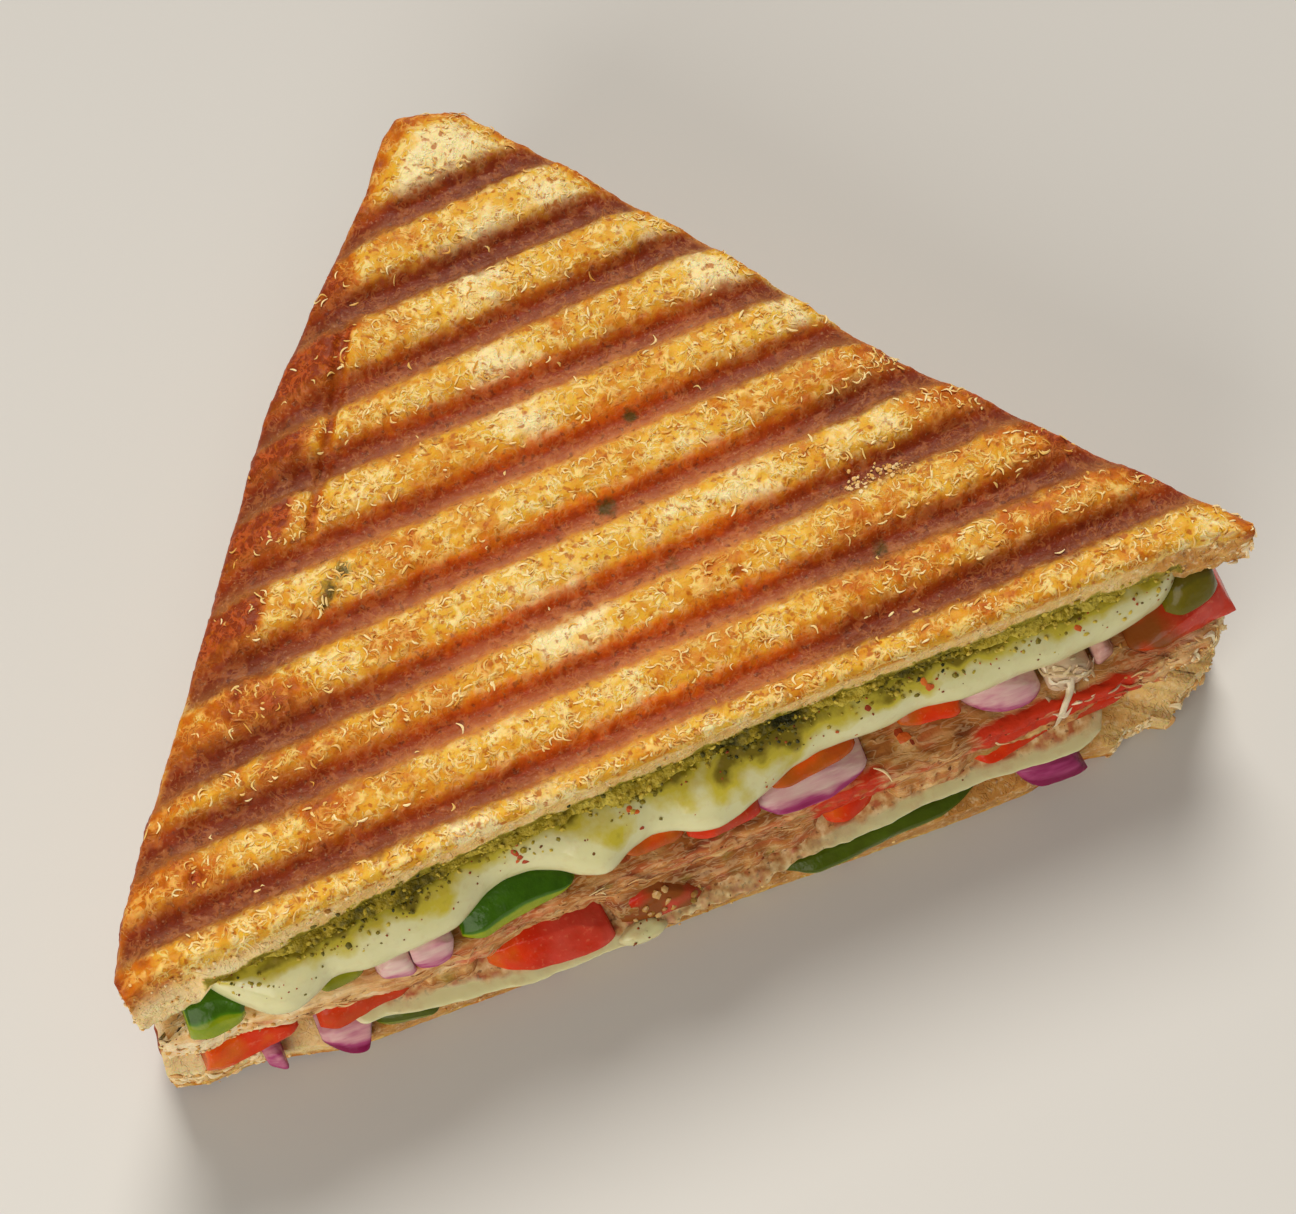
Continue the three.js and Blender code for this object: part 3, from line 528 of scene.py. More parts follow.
def landing(spots, *names):
    """Where the camera sees points of the picture on finished pieces, in the plan, and
    the direction that the pieces face there."""
    depsgraph = bpy.context.evaluated_depsgraph_get()
    surfaces = [BVHTree.FromObject(bpy.data.objects[name], depsgraph) for name in names]
    start = Vector((np.array(CAMERA_PLACE) + PLAN_TO_FRAME) * MM)
    found = []
    for u, v in spots:
        right = (u - PICTURE_MIDDLE[0]) / PICTURE_FOCUS
        up = (PICTURE_MIDDLE[1] - v) / PICTURE_FOCUS
        ray = CAMERA_RIGHT * right + CAMERA_UP * up - CAMERA_RIGHT.cross(CAMERA_UP)
        hits = [surface.ray_cast(start, ray) for surface in surfaces]
        hits = [hit for hit in hits if hit[0] is not None]
        if not hits:
            raise RuntimeError(f"nothing of {names} is at {u}, {v}")
        spot, facing, _, _ = min(hits, key=lambda hit: hit[3])
        found.append((np.array(spot) / MM - PLAN_TO_FRAME, np.array(facing)))
    return np.array([f[0] for f in found]), np.array([f[1] for f in found])


# Material tools


def node(tree, kind, sockets=None, stops=(), out=0, **settings):
    """Adds a node with its settings, the values or links of its sockets and its colour
    stops. Gives one of its outputs."""
    made = tree.nodes.new("ShaderNode" + kind)
    for name, value in settings.items():
        setattr(made, name, value)
    for name, value in (sockets or {}).items():
        socket = made.inputs[name]
        if isinstance(value, bpy.types.NodeSocket):
            tree.links.new(value, socket)
        else:
            socket.default_value = colour_value(value) if socket.type == "RGBA" else value
    for i, (spot, colour, *cover) in enumerate(stops):
        elements = made.color_ramp.elements
        element = elements[i] if i < 2 else elements.new(spot)
        element.position = spot
        element.color = colour_value(colour, *cover)
    return made.outputs[out]


def colour_value(colour, cover=1.0):
    """Colour with its cover, from a hex value or from a colour of the panel."""
    return (*(linear(colour) if isinstance(colour, str) else colour), cover)


COLOURS = {"data_type": "RGBA", "out": 2}   # for a mix of colours in sockets 6 and 7


def begin(name):
    """New material. Gives it, its nodes and the position on the object."""
    material = bpy.data.materials.new(name)
    material.use_nodes = True
    return material, material.node_tree, node(material.node_tree, "TexCoord", out="Object")


def finished(material, **sockets):
    """Sets the sockets of a material's own shader, by name."""
    shader = material.node_tree.nodes["Principled BSDF"]
    for name, value in sockets.items():
        socket = shader.inputs[name.replace("_", " ")]
        if isinstance(value, bpy.types.NodeSocket):
            material.node_tree.links.new(value, socket)
        else:
            socket.default_value = value
    return material


def per_mm(size):
    """Scale of a pattern whose patches are about size mm across."""
    return 1 / (size * MM)


def winding(tree, place, size, width, most=1.0):
    """Thin winding lines, where a cloudy pattern passes through its middle value."""
    scale = per_mm(size)
    cloud = node(tree, "TexNoise", {"Vector": place, "Scale": scale, "Detail": 1.0, "Distortion": 1.3})
    away = node(tree, "Math", {0: cloud, 1: 0.5}, operation="SUBTRACT")
    away = node(tree, "Math", {0: away}, operation="ABSOLUTE")
    return node(tree, "MapRange", {0: away, 1: width * 0.35, 2: width, 3: most, 4: 0.0})


def clouded(tree, place, name, size, amount, detail=4.0):
    """A mask of the piece, by its name, made uneven in clouds about size mm across."""
    mask = node(tree, "Attribute", out="Fac", attribute_name=name)
    cloud = node(tree, "TexNoise", {"Vector": place, "Scale": per_mm(size), "Detail": detail})
    shift = node(tree, "MapRange", {0: cloud, 1: 0.0, 2: 1.0, 3: -amount / 2, 4: amount / 2})
    return node(tree, "Math", {0: mask, 1: shift}, operation="ADD", use_clamp=True)


def specks(tree, place, size, low, high, most=1.0):
    """Scattered small blots, 0 between them."""
    cloud = node(tree, "TexNoise", {"Vector": place, "Scale": per_mm(size), "Detail": 2.0})
    return node(tree, "MapRange", {0: cloud, 1: low, 2: high, 3: 0.0, 4: most})


# Materials


def pressed_grooves(t, place, colours):
    """Grooves pressed by the grill: red-brown floor and orange sides. The side turned to the cut,
    away from the light, is darkened with painted shade, and the other, lit side is paler with a
    painted sheen. Gives their colour and how far it covers the crowns."""
    side, hard, ground = (
        node(t, "Attribute", out="Fac", attribute_name=name) for name in ("side", "hard", "ground"))
    across = clouded(t, place, "across", 1.4, 0.42, 3.0)
    # From a groove's floor to the crown: painted shade on the side turned to the cut, and
    # painted sheen on the other, lit side
    shaded = node(t, "ValToRGB", {"Fac": across}, [
        (0.00, "#AA5020", 1.0), (0.08, colours.groove, 1.0), (0.16, "#A63E06", 1.0), (0.25, "#C04A02", 1.0),
        (0.33, "#D65C02", 0.95), (0.44, "#DC7008", 0.8), (0.58, "#DC8416", 0.45), (0.78, "#DC9420", 0.0)])
    lit = node(t, "ValToRGB", {"Fac": across}, [
        (0.00, "#AA5424", 1.0), (0.12, "#B46432", 1.0), (0.22, "#C47A40", 1.0), (0.32, "#CE8844", 0.9),
        (0.42, "#D89A46", 0.55), (0.54, "#DCA23C", 0.0)])
    # Chooses the painted shade on the side turned to the cut and the painted sheen on the lit side
    turned = node(t, "MapRange", {0: side, 1: -0.25, 2: 0.25, 3: 0.0, 4: 1.0})
    colour = node(t, "Mix", {0: turned, 6: lit, 7: shaded}, **COLOURS)
    cover = node(t, "Mix", {0: turned, 2: lit.node.outputs["Alpha"], 3: shaded.node.outputs["Alpha"]})
    cover = node(t, "Math", {0: cover, 1: ground}, operation="MULTIPLY")
    scorch = node(t, "MapRange", {0: hard, 1: 0.0, 2: 1.0, 3: 0.0, 4: 0.7})
    return node(t, "Mix", {0: scorch, 6: colour, 7: "#5A1806"}, **COLOURS), cover


def torn_crowns(t, place, colours):
    """Golden bread between the grooves, with pale torn fibres over pits. The fibres' paleness is
    partly their own crumb and partly painted highlight, and the pits are darkened with painted
    shade. Gives its colour, the fibres and the pits."""
    tone = clouded(t, place, "tone", 2.6, 0.95)
    colour = node(t, "ValToRGB", {"Fac": tone}, [
        (0.00, "#F6E2A4"), (0.22, "#E8B83A"), (0.45, colours.crown), (0.68, "#C86C08"), (1.00, "#8A3408")])
    pale = node(t, "ValToRGB", {"Fac": tone}, [
        (0.00, "#FDEDB8"), (0.45, "#F6D880"), (0.70, "#E6A040"), (1.00, "#BC561E")])
    coarse = winding(t, place, 2.5, 0.075, 0.85)
    fibres = node(t, "Math", {0: coarse, 1: winding(t, place, 1.6, 0.06, 0.8)}, operation="MAXIMUM")
    fibres = node(t, "Math", {0: fibres, 1: specks(t, place, 1.8, 0.42, 0.54)}, operation="MULTIPLY")
    pits = specks(t, place, 1.0, 0.55, 0.65, 0.8)
    # Pits darkened with painted shade; fibres paler with their own crumb and painted highlight
    for cover, over in ((pits, "#B45A04"), (fibres, pale)):
        colour = node(t, "Mix", {0: cover, 6: colour, 7: over}, **COLOURS)
    return colour, fibres, pits


def baked_and_shaded_crumb(t, place, colours):
    """Crumb where the knife went through: cream to tan, browner where it baked, and on the
    lower slice also browner with painted shade.
    """
    bake = clouded(t, place, "bake", 2.2, 0.3)
    colour = node(t, "ValToRGB", {"Fac": bake}, [
        (0.00, "#FAE6B0"), (0.45, colours.crumb), (0.70, "#D4984C"), (1.00, "#94561E")])
    for cover, over in ((specks(t, place, 0.6, 0.56, 0.7, 0.3), "#C08840"),
                        (specks(t, place, 0.8, 0.54, 0.66, 0.4), "#FBE8BC"),
                        (specks(t, place, 1.3, 0.58, 0.7, 0.25), "#DCA458")):
        colour = node(t, "Mix", {0: cover, 6: colour, 7: over}, **COLOURS)
    return colour


def toasted_bread(colours):
    """White sandwich bread, buttered and browned between grill ridges: golden crowns
    with pale torn fibres, partly painted highlight, red-brown pressed grooves with painted
    shade and painted sheen on their sides, dull all over."""
    material, t, place = begin("toasted_white_bread")
    groove, pressed = pressed_grooves(t, place, colours)
    colour, fibres, pits = torn_crowns(t, place, colours)
    colour = node(t, "Mix", {0: pressed, 6: colour, 7: groove}, **COLOURS)
    # Bristles, burnt specks and glints in the grooves
    bristles = node(t, "Math", {0: fibres, 1: pressed}, operation="MULTIPLY")
    bristles = node(t, "Math", {0: bristles, 1: 0.3}, operation="MULTIPLY")
    colour = node(t, "Mix", {0: bristles, 6: colour, 7: "#D88C4C"}, **COLOURS)
    for spots, over in ((specks(t, place, 0.9, 0.6, 0.68, 0.5), "#4E1806"),
                        (specks(t, place, 0.45, 0.62, 0.7, 0.22), "#E2AE84")):
        cover = node(t, "Math", {0: spots, 1: pressed}, operation="MULTIPLY")
        colour = node(t, "Mix", {0: cover, 6: colour, 7: over}, **COLOURS)
    # The cut, dark herb spots on the face and chutney that soaked into the crumb
    inside = node(t, "Attribute", out="Fac", attribute_name="crumb")
    herb = clouded(t, place, "herb", 0.9, 1.1, 3.0)
    herb = node(t, "MapRange", {0: herb, 1: 0.35, 2: 0.85, 3: 0.0, 4: 0.9})
    green = clouded(t, place, "green", 1.1, 0.5)
    soaked = node(t, "ValToRGB", {"Fac": green}, [
        (0.00, "#D0BC48"), (0.50, "#B8A432"), (0.75, "#8A7C1A"), (1.00, "#4E460E")])
    green = node(t, "MapRange", {0: green, 1: 0.4, 2: 0.65, 3: 0.0, 4: 1.0})
    for cover, over in ((inside, baked_and_shaded_crumb(t, place, colours)), (herb, "#50400A"), (green, soaked)):
        colour = node(t, "Mix", {0: cover, 6: colour, 7: over}, **COLOURS)
    # Raised fibres, which the grooves have pressed flat, a fine grain and hollow pits
    bare = node(t, "MapRange", {0: pressed, 1: 0.0, 2: 1.0, 3: 1.0, 4: 0.25})
    height = node(t, "Math", {0: fibres, 1: bare}, operation="MULTIPLY")
    fine = node(t, "TexNoise", {"Vector": place, "Scale": per_mm(0.5), "Detail": 3.0})
    height = node(t, "Math", {0: height, 1: fine}, operation="ADD")
    hollow = node(t, "Math", {0: pits, 1: 0.4}, operation="MULTIPLY")
    height = node(t, "Math", {0: height, 1: hollow}, operation="SUBTRACT")
    normal = node(t, "Bump", {"Height": height, "Distance": 0.17 * MM, "Strength": 0.8})
    return finished(material, Base_Color=colour, Roughness=0.5, Normal=normal, IOR=1.45,
                    Specular_IOR_Level=0.22, Subsurface_Weight=0.4, Subsurface_Radius=(1.0, 0.42, 0.12),
                    Subsurface_Scale=1.1 * MM)


def soaked_crumb():
    """White bread crumb soaked with tomato juice and spice: tan to brown-pink layers,
    shredded by the knife, a little wet."""
    material, t, place = begin("soaked_bread_crumb")
    layered = node(t, "Mapping", {"Vector": place, "Scale": (0.3, 1.0, 1.7)})
    tone = clouded(t, layered, "tone", 1.5, 1.0)
    red = clouded(t, layered, "red", 1.3, 1.1)
    green = node(t, "Attribute", out="Fac", attribute_name="green")
    pink = node(t, "MapRange", {0: red, 1: 0.25, 2: 0.7, 3: 0.0, 4: 0.75})
    pulp = node(t, "MapRange", {0: red, 1: 0.7, 2: 0.95, 3: 0.0, 4: 1.0})
    dry = node(t, "Math", {0: 1.0, 1: pulp}, operation="SUBTRACT")
    fibres = node(t, "Math", {0: winding(t, layered, 1.1, 0.07, 0.35), 1: dry}, operation="MULTIPLY")
    colour = node(t, "ValToRGB", {"Fac": tone}, [
        (0.00, "#FCE8BC"), (0.35, "#EABC78"), (0.62, "#C4803E"), (1.00, "#84441E")])
    for cover, over in (
            (pink, "#CC5434"), (pulp, "#CE3412"), (fibres, "#F4D4A0"),
            (specks(t, layered, 2.2, 0.6, 0.68, 0.5), "#E6B67A"),
            (specks(t, layered, 0.8, 0.62, 0.74, 0.45), "#7E4218"), (green, "#8A8428")):
        colour = node(t, "Mix", {0: cover, 6: colour, 7: over}, **COLOURS)
    fine = node(t, "TexNoise", {"Vector": place, "Scale": per_mm(0.6), "Detail": 3.0})
    height = node(t, "Math", {0: fibres, 1: fine}, operation="ADD")
    normal = node(t, "Bump", {"Height": height, "Distance": 0.14 * MM, "Strength": 0.8})
    return finished(material, Base_Color=colour, Roughness=0.45, Normal=normal, IOR=1.42,
                    Specular_IOR_Level=0.25, Subsurface_Weight=0.2, Subsurface_Radius=(1.0, 0.45, 0.2),
                    Subsurface_Scale=1.2 * MM)


def green_chutney(colours):
    """Coriander and mint chutney, coarsely ground: yellow-green paste with dark leaf
    bits, dull where the bread has drunk it."""
    material, t, place = begin("ground_green_chutney")
    dark = clouded(t, place, "dark", 1.3, 1.3)
    colour = node(t, "ValToRGB", {"Fac": dark}, [
        (0.00, "#D8C44E"), (0.35, colours.chutney), (0.65, "#6E6210"), (1.00, "#2A2A08")])
    colour = node(t, "Mix", {0: specks(t, place, 0.5, 0.6, 0.7, 0.5), 6: colour, 7: "#4A4C0E"}, **COLOURS)
    fine = node(t, "TexNoise", {"Vector": place, "Scale": per_mm(0.5), "Detail": 3.0})
    normal = node(t, "Bump", {"Height": fine, "Distance": 0.35 * MM, "Strength": 1.0})
    return finished(material, Base_Color=colour, Roughness=0.45, Normal=normal, IOR=1.45,
                    Specular_IOR_Level=0.3, Subsurface_Weight=0.15, Subsurface_Radius=(0.8, 0.7, 0.1),
                    Subsurface_Scale=0.8 * MM)


def melted_cheese(colours):
    """Melted mozzarella type cheese: pale, slightly green-yellow, soft gloss and light
    that sinks in. Chutney stains its upper edge, and it turns to crumb where asked."""
    material, t, place = begin("melted_cheese")
    stain = clouded(t, place, "stain", 1.5, 0.6)
    broad = node(t, "TexNoise", {"Vector": place, "Scale": per_mm(5.0), "Detail": 2.0})
    colour = node(t, "Mix", {0: broad, 6: colours.cheese, 7: "#D9D79C"}, **COLOURS)
    for low, high, over in ((0.2, 0.6, "#CEBE1E"), (0.68, 0.95, "#7A6A10")):
        cover = node(t, "MapRange", {0: stain, 1: low, 2: high, 3: 0.0, 4: 0.9})
        colour = node(t, "Mix", {0: cover, 6: colour, 7: over}, **COLOURS)
    blush = clouded(t, place, "blush", 1.2, 0.5)
    patchy = node(t, "TexNoise", {"Vector": place, "Scale": per_mm(1.6), "Detail": 3.0})
    crumb = node(t, "ValToRGB", {"Fac": patchy}, [(0.36, "#EED09C"), (0.5, "#D2A060"), (0.62, "#BC6638")])
    crumb = node(t, "Mix", {0: specks(t, place, 0.7, 0.6, 0.68, 0.7), 6: crumb, 7: "#7A4418"}, **COLOURS)
    colour = node(t, "Mix", {0: blush, 6: colour, 7: crumb}, **COLOURS)
    soft = node(t, "TexNoise", {"Vector": place, "Scale": per_mm(2.4), "Detail": 2.0})
    grain = node(t, "Math", {0: patchy, 1: blush}, operation="MULTIPLY")
    soft = node(t, "Math", {0: grain, 1: 2.5, 2: soft}, operation="MULTIPLY_ADD")
    normal = node(t, "Bump", {"Height": soft, "Distance": 0.15 * MM, "Strength": 0.5})
    dull = node(t, "MapRange", {0: blush, 1: 0.0, 2: 1.0, 3: 0.16, 4: 0.5})
    return finished(material, Base_Color=colour, Roughness=dull, Normal=normal, IOR=1.45,
                    Subsurface_Weight=0.3, Subsurface_Radius=(1.0, 0.8, 0.45), Subsurface_Scale=1.6 * MM)


def green_pepper(colours):
    """Green bell pepper, cooked soft: dark glossy skin with small wrinkles, lighter
    yellow-green flesh at the cut."""
    material, t, place = begin("cooked_green_pepper")
    skin = clouded(t, place, "skin", 1.6, 0.3, 2.0)
    colour = node(t, "ValToRGB", {"Fac": skin}, [
        (0.00, "#B8B42C"), (0.30, "#90A010"), (0.60, colours.pepper), (1.00, "#365C08")])
    brown = node(t, "Attribute", out="Fac", attribute_name="brown")
    colour = node(t, "Mix", {0: brown, 6: colour, 7: "#644C10"}, **COLOURS)
    wrinkles = node(t, "TexNoise", {"Vector": place, "Scale": per_mm(0.9), "Detail": 2.0})
    normal = node(t, "Bump", {"Height": wrinkles, "Distance": 0.14 * MM, "Strength": 0.7})
    return finished(material, Base_Color=colour, Roughness=0.22, Normal=normal, IOR=1.42,
                    Specular_IOR_Level=0.3, Subsurface_Weight=0.15, Subsurface_Radius=(0.5, 1.0, 0.1),
                    Subsurface_Scale=0.9 * MM)


def ripe_tomato(colours):
    """Tomato slice warmed through: wet red flesh, paler and pinker where it is soft,
    orange at the skin."""
    material, t, place = begin("warm_tomato_slice")
    tone = clouded(t, place, "tone", 2.4, 0.5, 3.0)
    colour = node(t, "ValToRGB", {"Fac": tone}, [
        (0.00, "#E06A0C"), (0.30, colours.tomato), (0.65, "#CC2C10"), (1.00, "#DA5240")])
    colour = node(t, "Mix", {0: specks(t, place, 0.6, 0.6, 0.72, 0.25), 6: colour, 7: "#F09468"}, **COLOURS)
    brown = clouded(t, place, "brown", 1.6, 0.5, 3.0)
    colour = node(t, "Mix", {0: brown, 6: colour, 7: "#8E4C1C"}, **COLOURS)
    wet = node(t, "TexNoise", {"Vector": place, "Scale": per_mm(1.2), "Detail": 3.0})
    normal = node(t, "Bump", {"Height": wet, "Distance": 0.18 * MM, "Strength": 0.6})
    return finished(material, Base_Color=colour, Roughness=0.2, Normal=normal, IOR=1.38,
                    Specular_IOR_Level=0.3, Subsurface_Weight=0.18, Subsurface_Radius=(1.0, 0.25, 0.12),
                    Subsurface_Scale=1.0 * MM)


def red_onion(colours):
    """Red onion, softened: pale lilac, translucent flesh with fine lengthwise lines
    and a magenta skin edge."""
    material, t, place = begin("softened_red_onion")
    stretch = node(t, "Mapping", {"Vector": place, "Scale": (1.0, 6.0, 6.0)})
    lines = node(t, "TexNoise", {"Vector": stretch, "Scale": per_mm(4.0), "Detail": 2.0})
    lined = node(t, "MapRange", {0: lines, 1: 0.0, 2: 1.0, 3: -0.3, 4: 0.3})
    skin = node(t, "Attribute", out="Fac", attribute_name="skin")
    skin = node(t, "Math", {0: skin, 1: lined}, operation="ADD", use_clamp=True)
    colour = node(t, "ValToRGB", {"Fac": skin}, [
        (0.00, colours.onion), (0.30, "#D9A2A8"), (0.60, "#B24A7C"), (1.00, "#86124A")])
    brown = node(t, "Attribute", out="Fac", attribute_name="brown")
    colour = node(t, "Mix", {0: brown, 6: colour, 7: "#C8B070"}, **COLOURS)
    normal = node(t, "Bump", {"Height": lines, "Distance": 0.2 * MM, "Strength": 0.6})
    return finished(material, Base_Color=colour, Roughness=0.24, Normal=normal, IOR=1.4,
                    Specular_IOR_Level=0.35, Subsurface_Weight=0.3, Subsurface_Radius=(1.0, 0.6, 0.8),
                    Subsurface_Scale=1.2 * MM)


def small_bits(name, roughness, stops):
    """Ground, flaked or crumbled food, each bit in its own shade, with a fine grain."""
    material, t, place = begin(name)
    hue = clouded(t, place, "hue", 0.4, 0.3, 2.0)
    colour = node(t, "ValToRGB", {"Fac": hue}, stops)
    grain = node(t, "TexNoise", {"Vector": place, "Scale": per_mm(0.3), "Detail": 2.0})
    normal = node(t, "Bump", {"Height": grain, "Distance": 0.08 * MM, "Strength": 0.7})
    return finished(material, Base_Color=colour, Roughness=roughness, Normal=normal, IOR=1.45,
                    Subsurface_Weight=0.1, Subsurface_Radius=(1.0, 0.5, 0.15), Subsurface_Scale=0.5 * MM)


# Bread


# Spots of the upper slice's face: x, y, radius and strength
PALE_SPOTS = [
    (0.4, 85.8, 5.0, -0.65), (5.6, 84.5, 4.0, -0.5), (-5.0, 82.6, 4.0, -0.45), (13.0, 75.0, 6.0, -0.5),
    (-12.3, 75.5, 5.0, -0.3), (21.4, 65.5, 5.0, -0.55), (25.7, 56.0, 5.0, -0.6), (32.5, 48.0, 5.0, -0.5),
    (-30.0, 0.0, 6.0, -0.25), (66.0, 1.5, 5.0, -0.25), (-5.8, 11.3, 4.0, -0.2), (3.5, 73.5, 4.0, -0.4),
    (-2.1, 66.0, 6.0, -0.3), (-9.3, 20.3, 6.0, -0.65), (-4.4, 45.7, 4.5, -0.4), (-3.7, 54.8, 4.5, -0.35),
    (-31.0, 46.0, 4.0, -0.25), (-36.4, 38.0, 4.0, -0.3), (-18.2, 0.5, 4.0, -0.3), (5.7, 0.6, 5.0, -0.25),
    (14.0, 29.0, 7.0, -0.25), (36.0, 30.0, 5.0, -0.2), (68.5, 4.1, 4.0, -0.15), (-50.0, 27.0, 4.0, -0.2),
]
BROWN_SPOTS = [
    (-45.0, 17.0, 7.0, 0.25), (-46.1, 24.7, 4.5, 0.35), (33.0, 14.5, 8.0, 0.22), (53.8, 15.9, 9.0, 0.2),
    (-35.5, 12.4, 7.0, 0.15), (-48.8, 36.9, 6.0, 0.3), (-38.0, 50.0, 6.0, 0.3), (-24.0, 66.0, 5.0, 0.25),
    (60.0, 6.0, 7.0, 0.12), (22.0, 4.0, 6.0, 0.12),
]
GREEN_SPOTS = [
    (-33.5, 34.8, 1.5, 0.9), (-31.1, 36.6, 1.3, 0.9), (-34.8, 33.0, 1.1, 0.7), (1.7, 32.3, 1.5, 1.0),
    (8.9, 42.6, 0.9, 1.2), (30.5, 14.8, 1.5, 0.8), (6.3, 22.7, 1.5, 0.6), (-5.3, 35.2, 1.6, 0.5),
]
HOLES = [(13.0, 18.2, 0.9, 1.0), (13.2, 16.3, 0.7, 0.8), (-60.5, 7.0, 0.9, 0.8)]
# Fold along the crust on the left, where the slice's side was pressed up
FOLD = [(-19.7, 66.7), (-26.9, 53.4), (-33.0, 43.1)]

# Heights of the browned face and of the side's foot at the cut and at the crust, edge of
# the foot at the cut, half a groove's width, how far the rim drops, how green the cut is
# at its foot, and how brown the crumb is at both ends and at the right end; on the lower
# slice that brown away from the ends is painted shade under the filling
UPPER_SHAPE = {
    "face": TOP, "foot_cut": TOP_UNDER, "foot_crust": TOP_EDGE, "foot_line": CRUMB_FOOT,
    "groove_half": 2.2, "drop": 1.0, "stain": 0.85, "bake": 0.0, "end_bake": 0.25,
}
# The lower slice's crumb brown away from its ends is painted shade
LOWER_SHAPE = {
    "face": BOTTOM[0], "foot_cut": BOTTOM[1], "foot_crust": BOTTOM_EDGE, "foot_line": BOTTOM_FRONT,
    "groove_half": 1.9, "drop": 0.25, "stain": 0.0, "bake": 0.3, "end_bake": -0.12,
}


def groove_offset(x, y, grooves):
    """Signed distance from the nearest groove, positive towards the rounded corner."""
    away = np.array([y - (start + rise * x) for start, rise in grooves])
    nearest = np.abs(away).argmin(axis=0)
    return np.take_along_axis(away, nearest[None, :], axis=0)[0]


def slice_sheet(outline, cell, rows):
    """Sheet of a slice with its side wall drawn out of its rim. Gives the mesh, the
    plan position of each vertex and its row down the wall."""
    bm = trimmed_sheet(outline, cell)
    rim = [e for e in bm.edges if e.is_boundary]
    last = draw_out(bm, rim, rows)
    bmesh.ops.holes_fill(bm, edges=last, sides=0)
    bm.verts.index_update()
    flat = [Vector(p) for p in outline]
    hull = np.array([outline[i] for i in geometry.convex_hull_2d(flat)])
    offset = points_of(bm)[:, :2] - INSET_CENTRE
    turn = np.arctan2(offset[:, 1], offset[:, 0])
    radius = np.hypot(offset[:, 0], offset[:, 1])
    have = np.interp(turn, *reaches(hull), period=2 * math.pi)
    want = np.interp(turn, *reaches(outline), period=2 * math.pi)
    grow = 1 + ease(0.72, 1.0, radius / have) * (want / have - 1)
    return bm, INSET_CENTRE + offset * grow[:, None], levels_of(bm)


def pressed_face(x, y, gap, edge, facing, shape, groove_depth, grooves):
    """Height of a browned face, its groove distance and its fine relief."""
    spot = np.column_stack([x, y, np.full(x.shape, 7.0 * facing)])
    d = groove_offset(x, y, grooves)
    d = d + 0.3 * lumps(spot, 3.0, 1) + 0.15 * lumps(spot, 1.3, 2)
    groove = 1 - ease(0.8, shape["groove_half"], np.abs(d))
    crown = np.clip(1 - (np.abs(d) - shape["groove_half"]) / 2.6, 0, 1) ** 2
    depth = groove_depth * (0.4 + 0.6 * ease(0.5, 7, gap))
    rounding = 1.1
    e = np.clip(edge / rounding, 0, 1)
    fall = rounding * (1 - np.sqrt(1 - (1 - e) ** 2))
    drop = 2.1 * (1 - ease(0, 5, gap)) * shape["drop"]
    fine = 0.24 * lumps(spot, 2.1, 3) + 0.17 * lumps(spot, 1.0, 4) + 0.26 * strands(spot, 1.7, 5) - 0.08
    fine = fine * (1 - 0.75 * groove)
    broad = 0.25 * lumps(spot, 9.0, 6) - 0.2
    sunk = groove * depth + 0.4 * (1 - groove) * crown * depth / groove_depth + drop + fall
    return shape["face"] - facing * (sunk - fine - broad), d, spot


def wall_push(wall, level, t, at_cut):
    """How far a slice's side stands out: porous, and ragged where it was torn."""
    x, y = wall[:, 0], wall[:, 1]
    rough = 0.14 * lumps(wall, 1.7, 7) + 0.07 * lumps(wall, 0.8, 8) - 0.14 * pores(wall, 1.2, 9)
    ragged = ease(57, 64, x) * (y < 12)
    rough = rough * (1 + 1.2 * ease(62, 70, np.abs(x)) + 2.2 * ragged)
    rough = rough + 0.3 * lumps(wall, 4.5, 10) * (1 - at_cut)
    sway = 0.45 * np.sin(math.pi * t) * (1 - at_cut)
    return (level > 0) * np.minimum(1, 4 * t + 0.3) * (rough + sway)


def face_tone(x, y, gap, crust, fold, holes, spot, facing):
    """How brown the browned face is: 0 for pale crowns and 1 for the darkest."""
    pressed_up = (1 - ease(6.0, 7.5, gap)) * span(x, -52, -44, -19, -13) * (facing > 0)
    tone = 0.42 + spread(x, y, PALE_SPOTS + BROWN_SPOTS) + 0.36 * lumps(spot, 8.0, 12)
    tone += 0.2 * (1 - ease(2, 14, gap)) + 0.22 * (1 - ease(0.5, 6.5, gap)) * (x < 0)
    tone += 0.3 * crust + 0.42 * pressed_up + 0.5 * holes
    tone += 0.3 * (1 - ease(0.3, 2.8, gap)) * (x > 0)
    tone += 0.5 * (1 - ease(0.2, 1.2, fold))
    return tone


